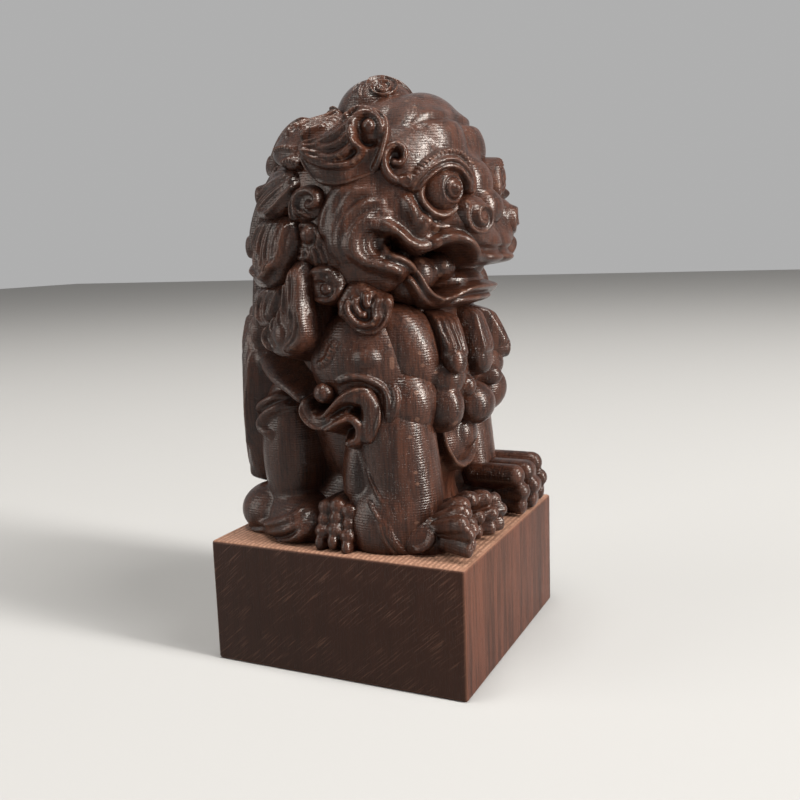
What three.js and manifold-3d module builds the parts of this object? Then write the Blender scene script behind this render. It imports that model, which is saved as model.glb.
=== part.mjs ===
// A carved wooden seal stamp: a guardian lion sits on a square block whose underside is the seal face.
// Millimetres, +Z up. The lion faces -Y and its right side is -X. The origin is the middle of the seal face.
// The real stamp is cut from one piece of wood. Here each form that the carver shaped is a solid of its
// own, and neighbours keep a fine seam between them.

import * as THREE from 'three';
import { mergeVertices } from 'three/addons/utils/BufferGeometryUtils.js';
import Module from 'manifold-3d';

const wasm = await Module();
wasm.setup();

// Driving dimensions

const BLOCK_SIDE = 50;
const BLOCK_HEIGHT = 23;
const BLOCK_CORNER_RADIUS = 0.8;
const BLOCK_CHAMFER = 0.4;
const CARVING_MARGIN = 1; // from the block's sides to the upright round that the lion is carved in
const CARVING_RADIUS = BLOCK_SIDE / 2 - CARVING_MARGIN;
const SEAM = 0.3;

// Two levels carry the tables below: the body's heights are above the block, the head's above its middle.
// Angles are in degrees round the upright axis, 0 at the front. An inset is measured in from the round.

const BODY_LEVEL = BLOCK_HEIGHT;
const HEAD_RISE = 61;
const HEAD_LEVEL = BODY_LEVEL + HEAD_RISE;

const SKULL = { inset: 3.7, depthInset: 4.2, tall: 15.5, back: 0.5 }; // insets from the mane's round
const CHEEK = { angle: 72, height: -8, inset: 7.4, width: 10, depth: 5.8, tall: 9.5 };
const TEMPLE = { angle: 60, height: 3, inset: 7.6, width: 9, depth: 5, tall: 8 };
const FOREHEAD = { angle: 0, height: 9.2, inset: 15.4, width: 12.4, depth: 8.2, tall: 9.1 };
const CROWN_BASE = { angle: 0, height: 9, inset: 19, width: 13, depth: 9, tall: 9.2 };
const BROW = { angle: 27, height: 8.2, inset: 11.8, width: 8.6, depth: 7.8, tall: 7.2 };
const MUZZLE = { angle: 0, height: -7.4, inset: 9.6, width: 11, depth: 8.6, tall: 6 };
const WHISKER_PAD = { angle: 24, height: -7, inset: 7.6, width: 9, depth: 8, tall: 6.4 };
const JAW = { angle: 0, height: -16.6, inset: 13.5, width: 14.5, depth: 10, tall: 4.6 };
const TONGUE = { angle: 0, height: -15.2, inset: 10.5, width: 8, depth: 7.4, tall: 2.4 };
const MOUTH = {
  route: [[-64, -7.5], [-34, -12.8], [0, -14.8], [34, -12.8], [64, -7.5]],
  inset: 1,
  halfGap: 2.8,
  depth: 7,
};
const UPPER_LIP = { inset: 1.9, width: 1.6, depth: 2.2, overlap: 0.5 };
const LOWER_LIP = { inset: 4, width: 1.6, depth: 2.2, overlap: 0.5 };
const NOSE_TIP = { angle: 0, height: -2.4, inset: 3.4, width: 5, depth: 3.4, tall: 3.4 };
const NOSE_BRIDGE = { angle: 0, height: 1.4, inset: 6, width: 5.6, depth: 4.6, tall: 4.8 };
const NOSE_WING = { angle: 18, height: -4.8, inset: 3, radius: 3.8 };
const EYE = { angle: 34, height: 0.4, inset: 3.6, radius: 2.9 };
const EYEBROW = { route: [[18, 1.4], [30, 6.4], [44, 5], [54, 2.2], [61, 4.4]], inset: 2.6, width: 1.7, depth: 1.8 };
const EYEBROW_CURL = { angle: 56, height: 5.2, inset: 3, radius: 2.4 };
const EAR = { route: [[60, 9.5], [70, 8.2], [86, 6.2], [104, 7.8]], inset: 4.2, width: 6.4, depth: 3, widest: 0.35 };
const EAR_SCOOP = { fall: 1.6, inset: 0.8, width: 2.8, depth: 2.2 };
const EAR_CURL = { angle: 68, height: 10.5, inset: 2.4, radius: 2.2 };
const CROWN = { back: -0.2, height: 14.4, width: 7.8, depth: 7.6, tall: 7.3 };
const CROWN_CURL = { back: -3.6, height: 18.4, radius: 2.6 };

const CURL = { inset: 3.8, depth: 2.8, grooveRadius: 0.6, grooveShare: 0.55, grooveInset: 1.5 };
const CHEEK_CURLS = [
  { angle: 99, height: -1, radius: 3.4 },
  { angle: 98, height: -8, radius: 4 },
  { angle: 90.5, height: -14.5, radius: 3.9 },
  { angle: 71, height: -19, radius: 4.8 },
];

// The mane's locks are cut from a round of their own, a dome over an upright barrel. Their insets, and those
// of the curls beside them, are measured from it. A third number in a route is the inset at that point.

const MANE = { height: -9, radius: 24.2, tall: 26.6, barrel: 26, sides: 28, rings: 14 };
const LOCK = { inset: 4.4, depth: 4.6 };
const SIDE_LOCKS = [
  { name: 'top_front_lock', route: [[114, 16.4, 15.2], [121, 11.5, 9.2], [122, 4.4, 5.2]], width: 6.4 },
  { name: 'top_back_lock', route: [[126, 14.4, 13.2], [143, 11.6, 9.8], [157, 4, 5.4]], width: 5 },
  { name: 'upper_front_lock', route: [[122, 7, 6.6], [126, 1.6], [127, -4.6]], width: 7.4 },
  { name: 'upper_back_lock', route: [[148, 7.6, 6.8], [153, 0], [157, -10]], width: 4.6 },
  { name: 'middle_front_lock', route: [[119, -1.4], [123, -8.4], [126, -16.4]], width: 8 },
  { name: 'middle_back_lock', route: [[150, -6], [155, -14], [156, -23]], width: 4.6 },
  { name: 'lower_front_lock', route: [[102, -10], [105, -17], [112, -28]], width: 5.4 },
  { name: 'lower_back_lock', route: [[127, -13], [129, -18], [130, -24.4]], width: 7.4 },
];
const CENTRE_LOCKS = [
  { name: 'top_centre_lock', route: [[180, 14.6, 13.8], [180, 9, 7.6], [180, 1.6]], width: 5 },
  { name: 'middle_centre_lock', route: [[180, 2], [180, -6], [180, -15]], width: 5 },
  { name: 'lower_centre_lock', route: [[180, -12], [180, -20], [180, -28]], width: 5 },
];
const BEARD_SIDE = { route: [[34, -19.5, 6.6], [32, -25, 4.4], [29, -30.5, 3]], width: 3.2, depth: 3 };
const BEARD_MIDDLE = { route: [[0, -19.5, 8], [0, -25, 6.2], [0, -31.5, 5.4]], width: 3.6, depth: 3.2 };

const TRUNK = { inset: 7.5, seatBack: 5, seatHeight: 14, neckDrop: 23 };
const RUMP = { angle: 180, height: 14, inset: 8.5, width: 14, depth: 8, tall: 16 };
const BELLY = { angle: 0, height: 17.2, inset: 11, width: 6.6, depth: 5.2, tall: 5.8 };
const BREAST = { angle: 50, height: 34, inset: 9, width: 6.8, depth: 7.2, tall: 9.6 };
const BREASTBONE = { angle: 0, height: 32, inset: 12, width: 12, depth: 6.2, tall: 10 };
const CHEST_SIDE = { angle: 34, height: 24.6, inset: 6.2, width: 4.2, depth: 6, tall: 5.2 };
const CHEST_TOP = { angle: 32, height: 29.6, inset: 7, width: 4.6, depth: 6, tall: 4.6 };
const CHEST_MIDDLE = { angle: 0, height: 23.4, inset: 6.8, width: 4.6, depth: 4.6, tall: 4.2 };
const SHOULDER = { angle: 78, height: 33, inset: 8.6, width: 9.6, depth: 7.2, tall: 9.6 };
const UPPER_ARM = { angle: 54, height: 25.6, inset: 7, width: 6.6, depth: 6.4, tall: 6.8 };
const ELBOW = { angle: 60, height: 22, inset: 7.8, radius: 7 };
const ANKLE = { angle: 54, height: 8, inset: 6.8, radius: 6.8 };
const FETLOCK = { angle: 72, height: 6, inset: 9.4, width: 6.4, depth: 6.4, tall: 8 };
const FOREPAW = { angle: 52, height: 3.2, inset: 5.8, width: 8, depth: 8.4, tall: 7 };
const FORETOES = {
  count: 4,
  pitch: 3.7,
  root: { forward: 4.4, height: 7.6, radius: 2 },
  knuckle: { forward: 8.6, height: 7.2, radius: 2.1 },
  tip: { forward: 11.4, height: 2.2, radius: 1.8 },
};
const HAUNCH = { angle: 136, height: 16, inset: 5.6, width: 6.4, depth: 6.2, tall: 15 };
const HAM = { angle: 136, height: 3, inset: 6.6, width: 12, depth: 7.4, tall: 6 };
const RUMP_SIDE = { angle: 146, height: 3.6, inset: 2.2, width: 6.4, depth: 7, tall: 5.4 };
const SOLE = { angle: 91, height: 3.6, inset: 6.6, width: 4.6, depth: 4.6, tall: 6.4 };
const HINDTOES = {
  count: 3,
  pitch: 2.5,
  root: { forward: 1, height: 9.6, radius: 1.9 },
  knuckle: { forward: 3.4, height: 6, radius: 1.9 },
  tip: { forward: 4.4, height: 2.2, radius: 1.6 },
};
const FLAME = {
  route: [[106, 26], [99, 22.8], [87, 25], [77, 28], [69, 25], [70, 20.5]],
  inset: 3,
  width: 3,
  depth: 2.6,
};
const FLAME_BALL = { angle: 94, height: 27.9, inset: 3, radius: 2.5 };
const FLAME_HOOK = { route: [[90, 22], [81, 23.7], [77, 21.3], [82, 19.3]], inset: 2.4, width: 1.6, depth: 1.8 };
const TAIL = { route: [[180, 1], [180, 13], [180, 27], [180, 39]], inset: 2.8, width: 7, depth: 3.2 };
const TAIL_FLAME = { route: [[157, 9], [151, 17], [149, 27], [150, 35], [156, 42]], inset: 0.6, width: 5, depth: 3 };

const WOOD = { dark: 0x3a2019, middle: 0x4a2a20, light: 0x59342a, roughness: 0.38 };
const SIDES = [{ word: 'right', sign: 1 }, { word: 'left', sign: -1 }];

// Places

/** A place in a round: the angle grows from the front towards the lion's right. */
function inRound(angle, height, inset, radius = CARVING_RADIUS) {
  const turn = THREE.MathUtils.degToRad(angle);
  const reach = radius - inset;
  return new THREE.Vector3(-reach * Math.sin(turn), -reach * Math.cos(turn), height);
}

/** A route in a round from angles and heights above a level, mirrored by a sign of -1. */
function routeInRound(points, level, inset, sign, radius = CARVING_RADIUS) {
  return points.map(([angle, height, own = inset]) => inRound(sign * angle, level + height, own, radius));
}

/** The direction from the upright axis to a place, level with the ground. */
function outwardAt(place) {
  return new THREE.Vector3(place.x, place.y, 0).normalize();
}

// Solids

/** Turns a closed geometry into a solid that can be joined and cut. */
function solidFrom(geometry) {
  geometry.deleteAttribute('normal');
  geometry.deleteAttribute('uv');
  const welded = mergeVertices(geometry);
  const vertProperties = new Float32Array(welded.attributes.position.array);
  const triVerts = new Uint32Array(welded.index.array);
  return new wasm.Manifold(new wasm.Mesh({ numProp: 3, vertProperties, triVerts }));
}

/** Joins solids into one. */
function joined(solids) {
  return solids.reduce((whole, next) => whole.add(next));
}

/** The largest of the bodies that a cut leaves. */
function largestBody(solid) {
  const bodies = solid.decompose();
  return bodies.reduce((best, next) => (next.volume() > best.volume() ? next : best));
}

/** An oval ball at a place, with its depth turned to an angle. */
function ovalBall(at, angle, { width, depth, tall, sides = 10, rings = 7 }, grow) {
  const geometry = new THREE.SphereGeometry(1, sides, rings);
  geometry.rotateX(Math.PI / 2);
  geometry.scale(width + grow, depth + grow, tall + grow);
  geometry.rotateZ(-THREE.MathUtils.degToRad(angle));
  geometry.translate(at.x, at.y, at.z);
  return solidFrom(geometry);
}

/** A ball in the round, oval where its size has a width, a depth and a tallness. */
function ball(size, level, sign, grow, radius = CARVING_RADIUS) {
  const angle = sign * size.angle;
  const at = inRound(angle, level + size.height, size.inset, radius);
  const plain = { width: size.radius, depth: size.radius, tall: size.radius };
  return ovalBall(at, angle, size.radius ? plain : size, grow);
}

/** A limb with round ends that runs between two places and tapers from one radius to the other. */
function limb(from, fromRadius, to, toRadius, grow, sides = 9, rings = 7) {
  const geometry = new THREE.SphereGeometry(1, sides, rings);
  const position = geometry.attributes.position;
  const along = new THREE.Vector3().subVectors(to, from).normalize();
  const swing = new THREE.Quaternion().setFromUnitVectors(new THREE.Vector3(0, 1, 0), along);
  const vertex = new THREE.Vector3();
  for (let i = 0; i < position.count; i += 1) {
    vertex.fromBufferAttribute(position, i);
    const atTip = vertex.y > 0;
    vertex.multiplyScalar((atTip ? toRadius : fromRadius) + grow).applyQuaternion(swing);
    vertex.add(atTip ? to : from);
    position.setXYZ(i, vertex.x, vertex.y, vertex.z);
  }
  return solidFrom(geometry);
}

/** A tongue of hair or flesh along a route: it swells to its widest share of the length and has round ends. */
function strand(route, { width, depth, widest = 0.55, fullness = 0.6, sides = 6, rings = 8 }, grow) {
  const curve = new THREE.CatmullRomCurve3(route);
  const geometry = new THREE.SphereGeometry(1, sides, rings);
  const position = geometry.attributes.position;
  const skew = Math.log(0.5) / Math.log(widest);
  const vertex = new THREE.Vector3();
  for (let i = 0; i < position.count; i += 1) {
    vertex.fromBufferAttribute(position, i);
    const share = 1 - Math.acos(THREE.MathUtils.clamp(vertex.y, -1, 1)) / Math.PI;
    const centre = curve.getPoint(share);
    const forward = curve.getTangent(share);
    const across = new THREE.Vector3().crossVectors(forward, outwardAt(centre)).normalize();
    const outward = new THREE.Vector3().crossVectors(across, forward);
    const rim = Math.hypot(vertex.x, vertex.z);
    const atEnd = rim < 1e-6;
    const swell = atEnd ? 0 : Math.sin(Math.PI * share ** skew) ** fullness / rim;
    centre.addScaledVector(across, vertex.x * (swell * width + grow));
    centre.addScaledVector(outward, vertex.z * (swell * depth + grow));
    centre.addScaledVector(forward, vertex.y * grow);
    position.setXYZ(i, centre.x, centre.y, centre.z);
  }
  return solidFrom(geometry);
}

/** A ring on a round, facing outward. */
function ring(angle, height, inset, radius, ringRadius, tubeRadius) {
  const at = inRound(angle, height, inset, radius);
  const geometry = new THREE.TorusGeometry(ringRadius, tubeRadius, 4, 10);
  geometry.rotateX(Math.PI / 2);
  geometry.rotateZ(-THREE.MathUtils.degToRad(angle));
  geometry.translate(at.x, at.y, at.z);
  return solidFrom(geometry);
}

// Forms of the block and the trunk

/** The square block with softened edges. */
function block(grow) {
  const corner = BLOCK_CORNER_RADIUS;
  const half = BLOCK_SIDE / 2 - BLOCK_CHAMFER + grow;
  const middle = half - corner;
  const outline = new THREE.Shape();
  [[1, -1], [1, 1], [-1, 1], [-1, -1]].forEach(([x, y], i) => {
    const start = (i - 1) * (Math.PI / 2);
    outline.absarc(x * middle, y * middle, corner, start, start + Math.PI / 2);
  });
  const geometry = new THREE.ExtrudeGeometry(outline, {
    depth: BLOCK_HEIGHT - 2 * BLOCK_CHAMFER + grow,
    bevelSize: BLOCK_CHAMFER,
    bevelThickness: BLOCK_CHAMFER,
    bevelSegments: 1,
    curveSegments: 3,
  });
  geometry.translate(0, 0, BLOCK_CHAMFER);
  return solidFrom(geometry);
}

/** The trunk from the seat to the neck, with the rump and the belly. */
function torso(grow) {
  const radius = CARVING_RADIUS - TRUNK.inset;
  const seat = new THREE.Vector3(0, TRUNK.seatBack, BODY_LEVEL + TRUNK.seatHeight);
  const neck = new THREE.Vector3(0, 0, HEAD_LEVEL - TRUNK.neckDrop);
  const trunk = limb(seat, radius, neck, radius, grow, 14, 7);
  return joined([trunk, ball(RUMP, BODY_LEVEL, 1, grow), ball(BELLY, BODY_LEVEL, 1, grow)]);
}

/** The breast on both sides of the breastbone, and the muscles below it. */
function chest(grow) {
  const muscles = SIDES.flatMap(({ sign }) => [
    ball(BREAST, BODY_LEVEL, sign, grow),
    ball(CHEST_TOP, BODY_LEVEL, sign, grow),
    ball(CHEST_SIDE, BODY_LEVEL, sign, grow),
  ]);
  const middle = [BREASTBONE, CHEST_MIDDLE].map((size) => ball(size, BODY_LEVEL, 1, grow));
  return joined([...middle, ...muscles]);
}

// Forms of the head

/** The hollow of the open mouth, which shrinks as the forms that it cuts grow. */
function mouthHollow(grow) {
  const size = { width: MOUTH.halfGap, depth: MOUTH.depth, widest: 0.5, fullness: 0.5, rings: 12 };
  return strand(routeInRound(MOUTH.route, HEAD_LEVEL, MOUTH.inset, 1), size, -grow);
}

/** A lip along the mouth: a direction of 1 is the upper side of the mouth and -1 the lower one. */
function lip({ inset, width, depth, overlap }, direction, grow) {
  const level = HEAD_LEVEL + direction * (MOUTH.halfGap + width - overlap);
  const size = { width, depth, widest: 0.5, fullness: 0.3, sides: 5, rings: 12 };
  return strand(routeInRound(MOUTH.route, level, inset, 1), size, grow);
}

/** The skull with its cheeks and the domes over its eyes. */
function head(grow) {
  const at = new THREE.Vector3(0, SKULL.back, HEAD_LEVEL);
  const skull = ovalBall(at, 0, {
    width: MANE.radius - SKULL.inset,
    depth: MANE.radius - SKULL.depthInset,
    tall: SKULL.tall,
    sides: 16,
    rings: 10,
  }, grow);
  const sides = SIDES.flatMap(({ sign }) => [
    ball(CHEEK, HEAD_LEVEL, sign, grow),
    ball(TEMPLE, HEAD_LEVEL, sign, grow),
    ball(BROW, HEAD_LEVEL, sign, grow),
  ]);
  const top = [FOREHEAD, CROWN_BASE].map((size) => ball(size, HEAD_LEVEL, 1, grow));
  return joined([skull, ...top, ...sides]).subtract(mouthHollow(grow));
}

/** The upper jaw with its whisker pads and its lip. */
function muzzle(grow) {
  const pads = SIDES.map(({ sign }) => ball(WHISKER_PAD, HEAD_LEVEL, sign, grow));
  return joined([ball(MUZZLE, HEAD_LEVEL, 1, grow), ...pads, lip(UPPER_LIP, 1, grow)]).subtract(mouthHollow(grow));
}

/** The lower jaw with its lip. */
function lowerJaw(grow) {
  return joined([ball(JAW, HEAD_LEVEL, 1, grow), lip(LOWER_LIP, -1, grow)]).subtract(mouthHollow(grow));
}

/** The nose: a tip between two wings, under its bridge. */
function nose(grow) {
  const wings = SIDES.map(({ sign }) => ball(NOSE_WING, HEAD_LEVEL, sign, grow));
  const middle = [NOSE_TIP, NOSE_BRIDGE].map((size) => ball(size, HEAD_LEVEL, 1, grow));
  return joined([...middle, ...wings]);
}

/** The eyebrow: a ridge that ends in a curl. */
function eyebrow(sign, grow) {
  const route = routeInRound(EYEBROW.route, HEAD_LEVEL, EYEBROW.inset, sign);
  const ridge = strand(route, { ...EYEBROW, fullness: 0.4, sides: 5 }, grow);
  return ridge.add(ball(EYEBROW_CURL, HEAD_LEVEL, sign, grow));
}

/** The ear: a leaf with a scoop along it and a curl at its root. */
function ear(sign, grow) {
  const leaf = strand(routeInRound(EAR.route, HEAD_LEVEL, EAR.inset, sign), { ...EAR, sides: 8 }, grow);
  const scoopRoute = routeInRound(EAR.route, HEAD_LEVEL - EAR_SCOOP.fall, EAR_SCOOP.inset, sign);
  const scoop = strand(scoopRoute, { ...EAR_SCOOP, sides: 5, rings: 7 }, -grow);
  return leaf.subtract(scoop).add(ball(EAR_CURL, HEAD_LEVEL, sign, grow));
}

/** The topknot on the crown with its curl. */
function crownKnot(grow) {
  const knotAt = new THREE.Vector3(0, CROWN.back, HEAD_LEVEL + CROWN.height);
  const curlAt = new THREE.Vector3(0, CROWN_CURL.back, HEAD_LEVEL + CROWN_CURL.height);
  const { radius } = CROWN_CURL;
  const knot = ovalBall(knotAt, 0, CROWN, grow);
  return knot.add(ovalBall(curlAt, 0, { width: radius, depth: radius, tall: radius, sides: 8, rings: 6 }, grow));
}

/** A snail curl beside the cheek: a dome with a ring cut round its middle. */
function cheekCurl(size, sign, grow) {
  const dome = { ...size, radius: 0, inset: CURL.inset, width: size.radius, depth: CURL.depth, tall: size.radius };
  const groove = ring(sign * size.angle, HEAD_LEVEL + size.height, CURL.grooveInset - CURL.grooveRadius,
    MANE.radius, size.radius * CURL.grooveShare, CURL.grooveRadius * 2 - grow);
  return ball(dome, HEAD_LEVEL, sign, grow, MANE.radius).subtract(groove);
}

/** A lock that hangs from the head. */
function lock(size, sign, grow, radius = CARVING_RADIUS) {
  const { route, inset, width, depth } = { ...LOCK, ...size };
  const places = routeInRound(route, HEAD_LEVEL, inset, sign, radius);
  return strand(places, { width, depth, widest: 0.6, fullness: 0.42 }, grow);
}

/** The round that the mane's locks are cut from. */
function maneRound(grow) {
  const { radius, tall, barrel, sides, rings } = MANE;
  const middle = HEAD_LEVEL + MANE.height;
  const size = { width: radius, depth: radius, tall, sides, rings };
  const upright = new THREE.CylinderGeometry(radius + grow, radius + grow, barrel, sides);
  upright.rotateX(Math.PI / 2);
  upright.translate(0, 0, middle - barrel / 2);
  return solidFrom(upright).add(ovalBall(new THREE.Vector3(0, 0, middle), 0, size, grow));
}

/** A lock of the mane, cut back to the mane's round. */
function maneLock(size, sign, grow) {
  return lock(size, sign, grow, MANE.radius).intersect(maneRound(grow));
}

// Forms of the limbs and the tail

/** A limb between two places in the round. */
function legPart(top, bottom, sign, grow) {
  const from = inRound(sign * top.angle, BODY_LEVEL + top.height, top.inset);
  const to = inRound(sign * bottom.angle, BODY_LEVEL + bottom.height, bottom.inset);
  return limb(from, top.radius, to, bottom.radius, grow);
}

/** The shoulder with the bulge of the upper arm before it. */
function upperArm(sign, grow) {
  return ball(SHOULDER, BODY_LEVEL, sign, grow).add(ball(UPPER_ARM, BODY_LEVEL, sign, grow));
}

/** The foreleg, with the tuft of hair behind its ankle. */
function foreleg(sign, grow) {
  return legPart(ELBOW, ANKLE, sign, grow).add(ball(FETLOCK, BODY_LEVEL, sign, grow));
}

/** A row of toes that point from a place in a heading, in degrees round from the front. */
function toes(centre, heading, size, grow) {
  const turn = THREE.MathUtils.degToRad(heading);
  const ahead = new THREE.Vector3(-Math.sin(turn), -Math.cos(turn), 0);
  const aside = new THREE.Vector3(Math.cos(turn), -Math.sin(turn), 0);
  return Array.from({ length: size.count }, (_, i) => {
    const across = (i - (size.count - 1) / 2) * size.pitch;
    const joints = [size.root, size.knuckle, size.tip];
    const [root, knuckle, tip] = joints.map(({ forward, height }) => {
      const at = new THREE.Vector3(centre.x, centre.y, BODY_LEVEL + height);
      return at.addScaledVector(ahead, forward).addScaledVector(aside, across);
    });
    const back = limb(root, size.root.radius, knuckle, size.knuckle.radius, grow, 6, 5);
    return back.add(limb(knuckle, size.knuckle.radius, tip, size.tip.radius, grow, 6, 5));
  });
}

/** The forepaw with its toes. */
function forepaw(sign, grow) {
  const centre = inRound(sign * FOREPAW.angle, BODY_LEVEL + FOREPAW.height, FOREPAW.inset);
  return joined([ovalBall(centre, 0, FOREPAW, grow), ...toes(centre, 0, FORETOES, grow)]);
}

/** The hind foot beside the flank, with its toes turned out. */
function hindFoot(sign, grow) {
  const middle = inRound(sign * SOLE.angle, BODY_LEVEL + SOLE.height, SOLE.inset);
  return joined([ball(SOLE, BODY_LEVEL, sign, grow), ...toes(middle, sign * SOLE.angle, HINDTOES, grow)]);
}

/** The haunch, with the ham behind the foot and the rump's side. */
function haunch(sign, grow) {
  return joined([HAUNCH, HAM, RUMP_SIDE].map((size) => ball(size, BODY_LEVEL, sign, grow)));
}

/** The flame scroll behind the shoulder, with its ball and its hook. */
function shoulderFlame(sign, grow) {
  const scrollRoute = routeInRound(FLAME.route, BODY_LEVEL, FLAME.inset, sign);
  const hookRoute = routeInRound(FLAME_HOOK.route, BODY_LEVEL, FLAME_HOOK.inset, sign);
  const scroll = strand(scrollRoute, { ...FLAME, fullness: 0.4, sides: 5, rings: 13 }, grow);
  const hook = strand(hookRoute, { ...FLAME_HOOK, sides: 5 }, grow);
  return joined([scroll, hook, ball(FLAME_BALL, BODY_LEVEL, sign, grow)]);
}

/** A plume of the tail that stands against the back. */
function plume(size, sign, grow) {
  return strand(routeInRound(size.route, BODY_LEVEL, size.inset, sign), { ...size, fullness: 0.5 }, grow);
}

// The list of forms. A form keeps its whole shape against those after it, which are cut to fit round it.

const single = (name, colour, build) => [{ name, colour, build }];
const pair = (name, colour, build) => SIDES.map(({ word, sign }) => ({
  name: `${word}_${name}`,
  colour,
  build: (grow) => build(sign, grow),
}));

const FORMS = [
  ...single('seal_block', WOOD.middle, block),
  ...pair('eye', WOOD.light, (sign, grow) => ball(EYE, HEAD_LEVEL, sign, grow)),
  ...single('head', WOOD.middle, head),
  ...single('torso', WOOD.dark, torso),
  ...single('nose', WOOD.light, nose),
  ...single('muzzle', WOOD.middle, muzzle),
  ...single('lower_jaw', WOOD.middle, lowerJaw),
  ...single('tongue', WOOD.dark, (grow) => ball(TONGUE, HEAD_LEVEL, 1, grow)),
  ...pair('eyebrow', WOOD.light, eyebrow),
  ...pair('ear', WOOD.light, ear),
  ...single('crown_knot', WOOD.light, crownKnot),
  ...CHEEK_CURLS.flatMap((size, i) => (
    pair(`cheek_curl_${i + 1}`, WOOD.light, (sign, grow) => cheekCurl(size, sign, grow))
  )),
  ...SIDE_LOCKS.flatMap((size) => pair(size.name, WOOD.dark, (sign, grow) => maneLock(size, sign, grow))),
  ...CENTRE_LOCKS.flatMap((size) => single(size.name, WOOD.dark, (grow) => maneLock(size, 1, grow))),
  ...single('beard_middle_lock', WOOD.dark, (grow) => lock(BEARD_MIDDLE, 1, grow)),
  ...pair('beard_lock', WOOD.dark, (sign, grow) => lock(BEARD_SIDE, sign, grow)),
  ...pair('shoulder_flame', WOOD.light, shoulderFlame),
  ...pair('upper_arm', WOOD.middle, upperArm),
  ...single('chest', WOOD.light, chest),
  ...pair('foreleg', WOOD.middle, foreleg),
  ...pair('forepaw', WOOD.light, forepaw),
  ...pair('hind_foot', WOOD.light, hindFoot),
  ...single('tail', WOOD.light, (grow) => plume(TAIL, 1, grow)),
  ...pair('tail_flame', WOOD.middle, (sign, grow) => plume(TAIL_FLAME, sign, grow)),
  ...pair('haunch', WOOD.middle, haunch),
];

// Assembly

/** Whether two solids' boxes meet. */
function boxesMeet(one, other) {
  const a = one.boundingBox();
  const b = other.boundingBox();
  return [0, 1, 2].every((axis) => a.min[axis] < b.max[axis] && b.min[axis] < a.max[axis]);
}

/** Each form's solid, cut by the forms before it with the seam between them. */
function cutForms(forms) {
  const taken = [];
  return forms.map(({ name, colour, build }) => {
    const whole = build(0);
    const near = taken.filter((other) => boxesMeet(whole, other));
    const cut = near.reduce((rest, other) => rest.subtract(other), whole);
    taken.push(build(SEAM));
    return { name, colour, solid: largestBody(cut) };
  });
}

/** A mesh whose origin is the middle of its solid's box. */
function meshFrom({ name, colour, solid }) {
  const { vertProperties, triVerts } = solid.getMesh();
  const geometry = new THREE.BufferGeometry();
  geometry.setAttribute('position', new THREE.BufferAttribute(new Float32Array(vertProperties), 3));
  geometry.setIndex(new THREE.BufferAttribute(new Uint32Array(triVerts), 1));
  geometry.computeBoundingBox();
  const middle = geometry.boundingBox.getCenter(new THREE.Vector3());
  geometry.translate(-middle.x, -middle.y, -middle.z);
  geometry.computeVertexNormals();
  const material = new THREE.MeshStandardMaterial({ color: colour, roughness: WOOD.roughness, metalness: 0 });
  const mesh = new THREE.Mesh(geometry, material);
  mesh.name = name;
  mesh.position.copy(middle);
  return mesh;
}

const stamp = new THREE.Group();
stamp.name = 'seal_stamp';
cutForms(FORMS).forEach((form) => stamp.add(meshFrom(form)));

export default stamp;
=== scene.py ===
"""A carved hardwood seal stamp: a guardian lion on a square block.

The carving is one piece of wood. Each form that the carver shaped is a closed solid of its own here, cut
along rays from an upright spine, as the rotary cutter that made it works. Lengths in the classes are in
millimetres and heights are above the seal face. Angles are in degrees round the upright axis, 0 at the
lion's face and growing towards its right side, which is -X.
"""

import logging
import math
from collections.abc import Callable, Sequence
from dataclasses import dataclass
from enum import Enum

import bmesh
import bpy
import numpy as np
from mathutils import Matrix, Vector


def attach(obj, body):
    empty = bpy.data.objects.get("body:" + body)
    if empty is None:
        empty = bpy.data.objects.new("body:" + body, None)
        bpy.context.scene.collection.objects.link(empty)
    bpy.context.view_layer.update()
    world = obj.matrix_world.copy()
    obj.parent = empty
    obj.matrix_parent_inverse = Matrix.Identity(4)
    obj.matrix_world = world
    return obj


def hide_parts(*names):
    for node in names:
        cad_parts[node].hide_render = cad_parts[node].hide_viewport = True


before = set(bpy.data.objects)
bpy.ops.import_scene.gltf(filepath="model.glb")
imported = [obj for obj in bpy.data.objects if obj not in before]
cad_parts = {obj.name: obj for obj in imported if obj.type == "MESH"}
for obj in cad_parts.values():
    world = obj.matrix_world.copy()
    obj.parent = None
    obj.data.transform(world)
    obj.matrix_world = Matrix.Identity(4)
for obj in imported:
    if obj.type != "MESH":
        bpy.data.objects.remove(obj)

Array = np.ndarray
Spot = tuple[float, float]
Triple = tuple[float, float, float]
Route = Sequence[Spot]
Routes = tuple[Route, ...]

LOG = logging.getLogger("seal_stamp")
MM = 0.001
BODY = "root"
WHOLE = 60.0  # a margin in millimetres that takes in a whole surface
MISSED = -50.0  # the reach of a ray that passes a ball by
TINY = 1e-9


class Side(Enum):
    """The two sides of the lion: the right one is carved, and the left one mirrors it."""

    RIGHT = "right"
    LEFT = "left"


class Slot(Enum):
    """The record's two finishes."""

    CARVED = "carved_wood"
    BLOCK = "block_wood"


# Carving tools


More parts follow.
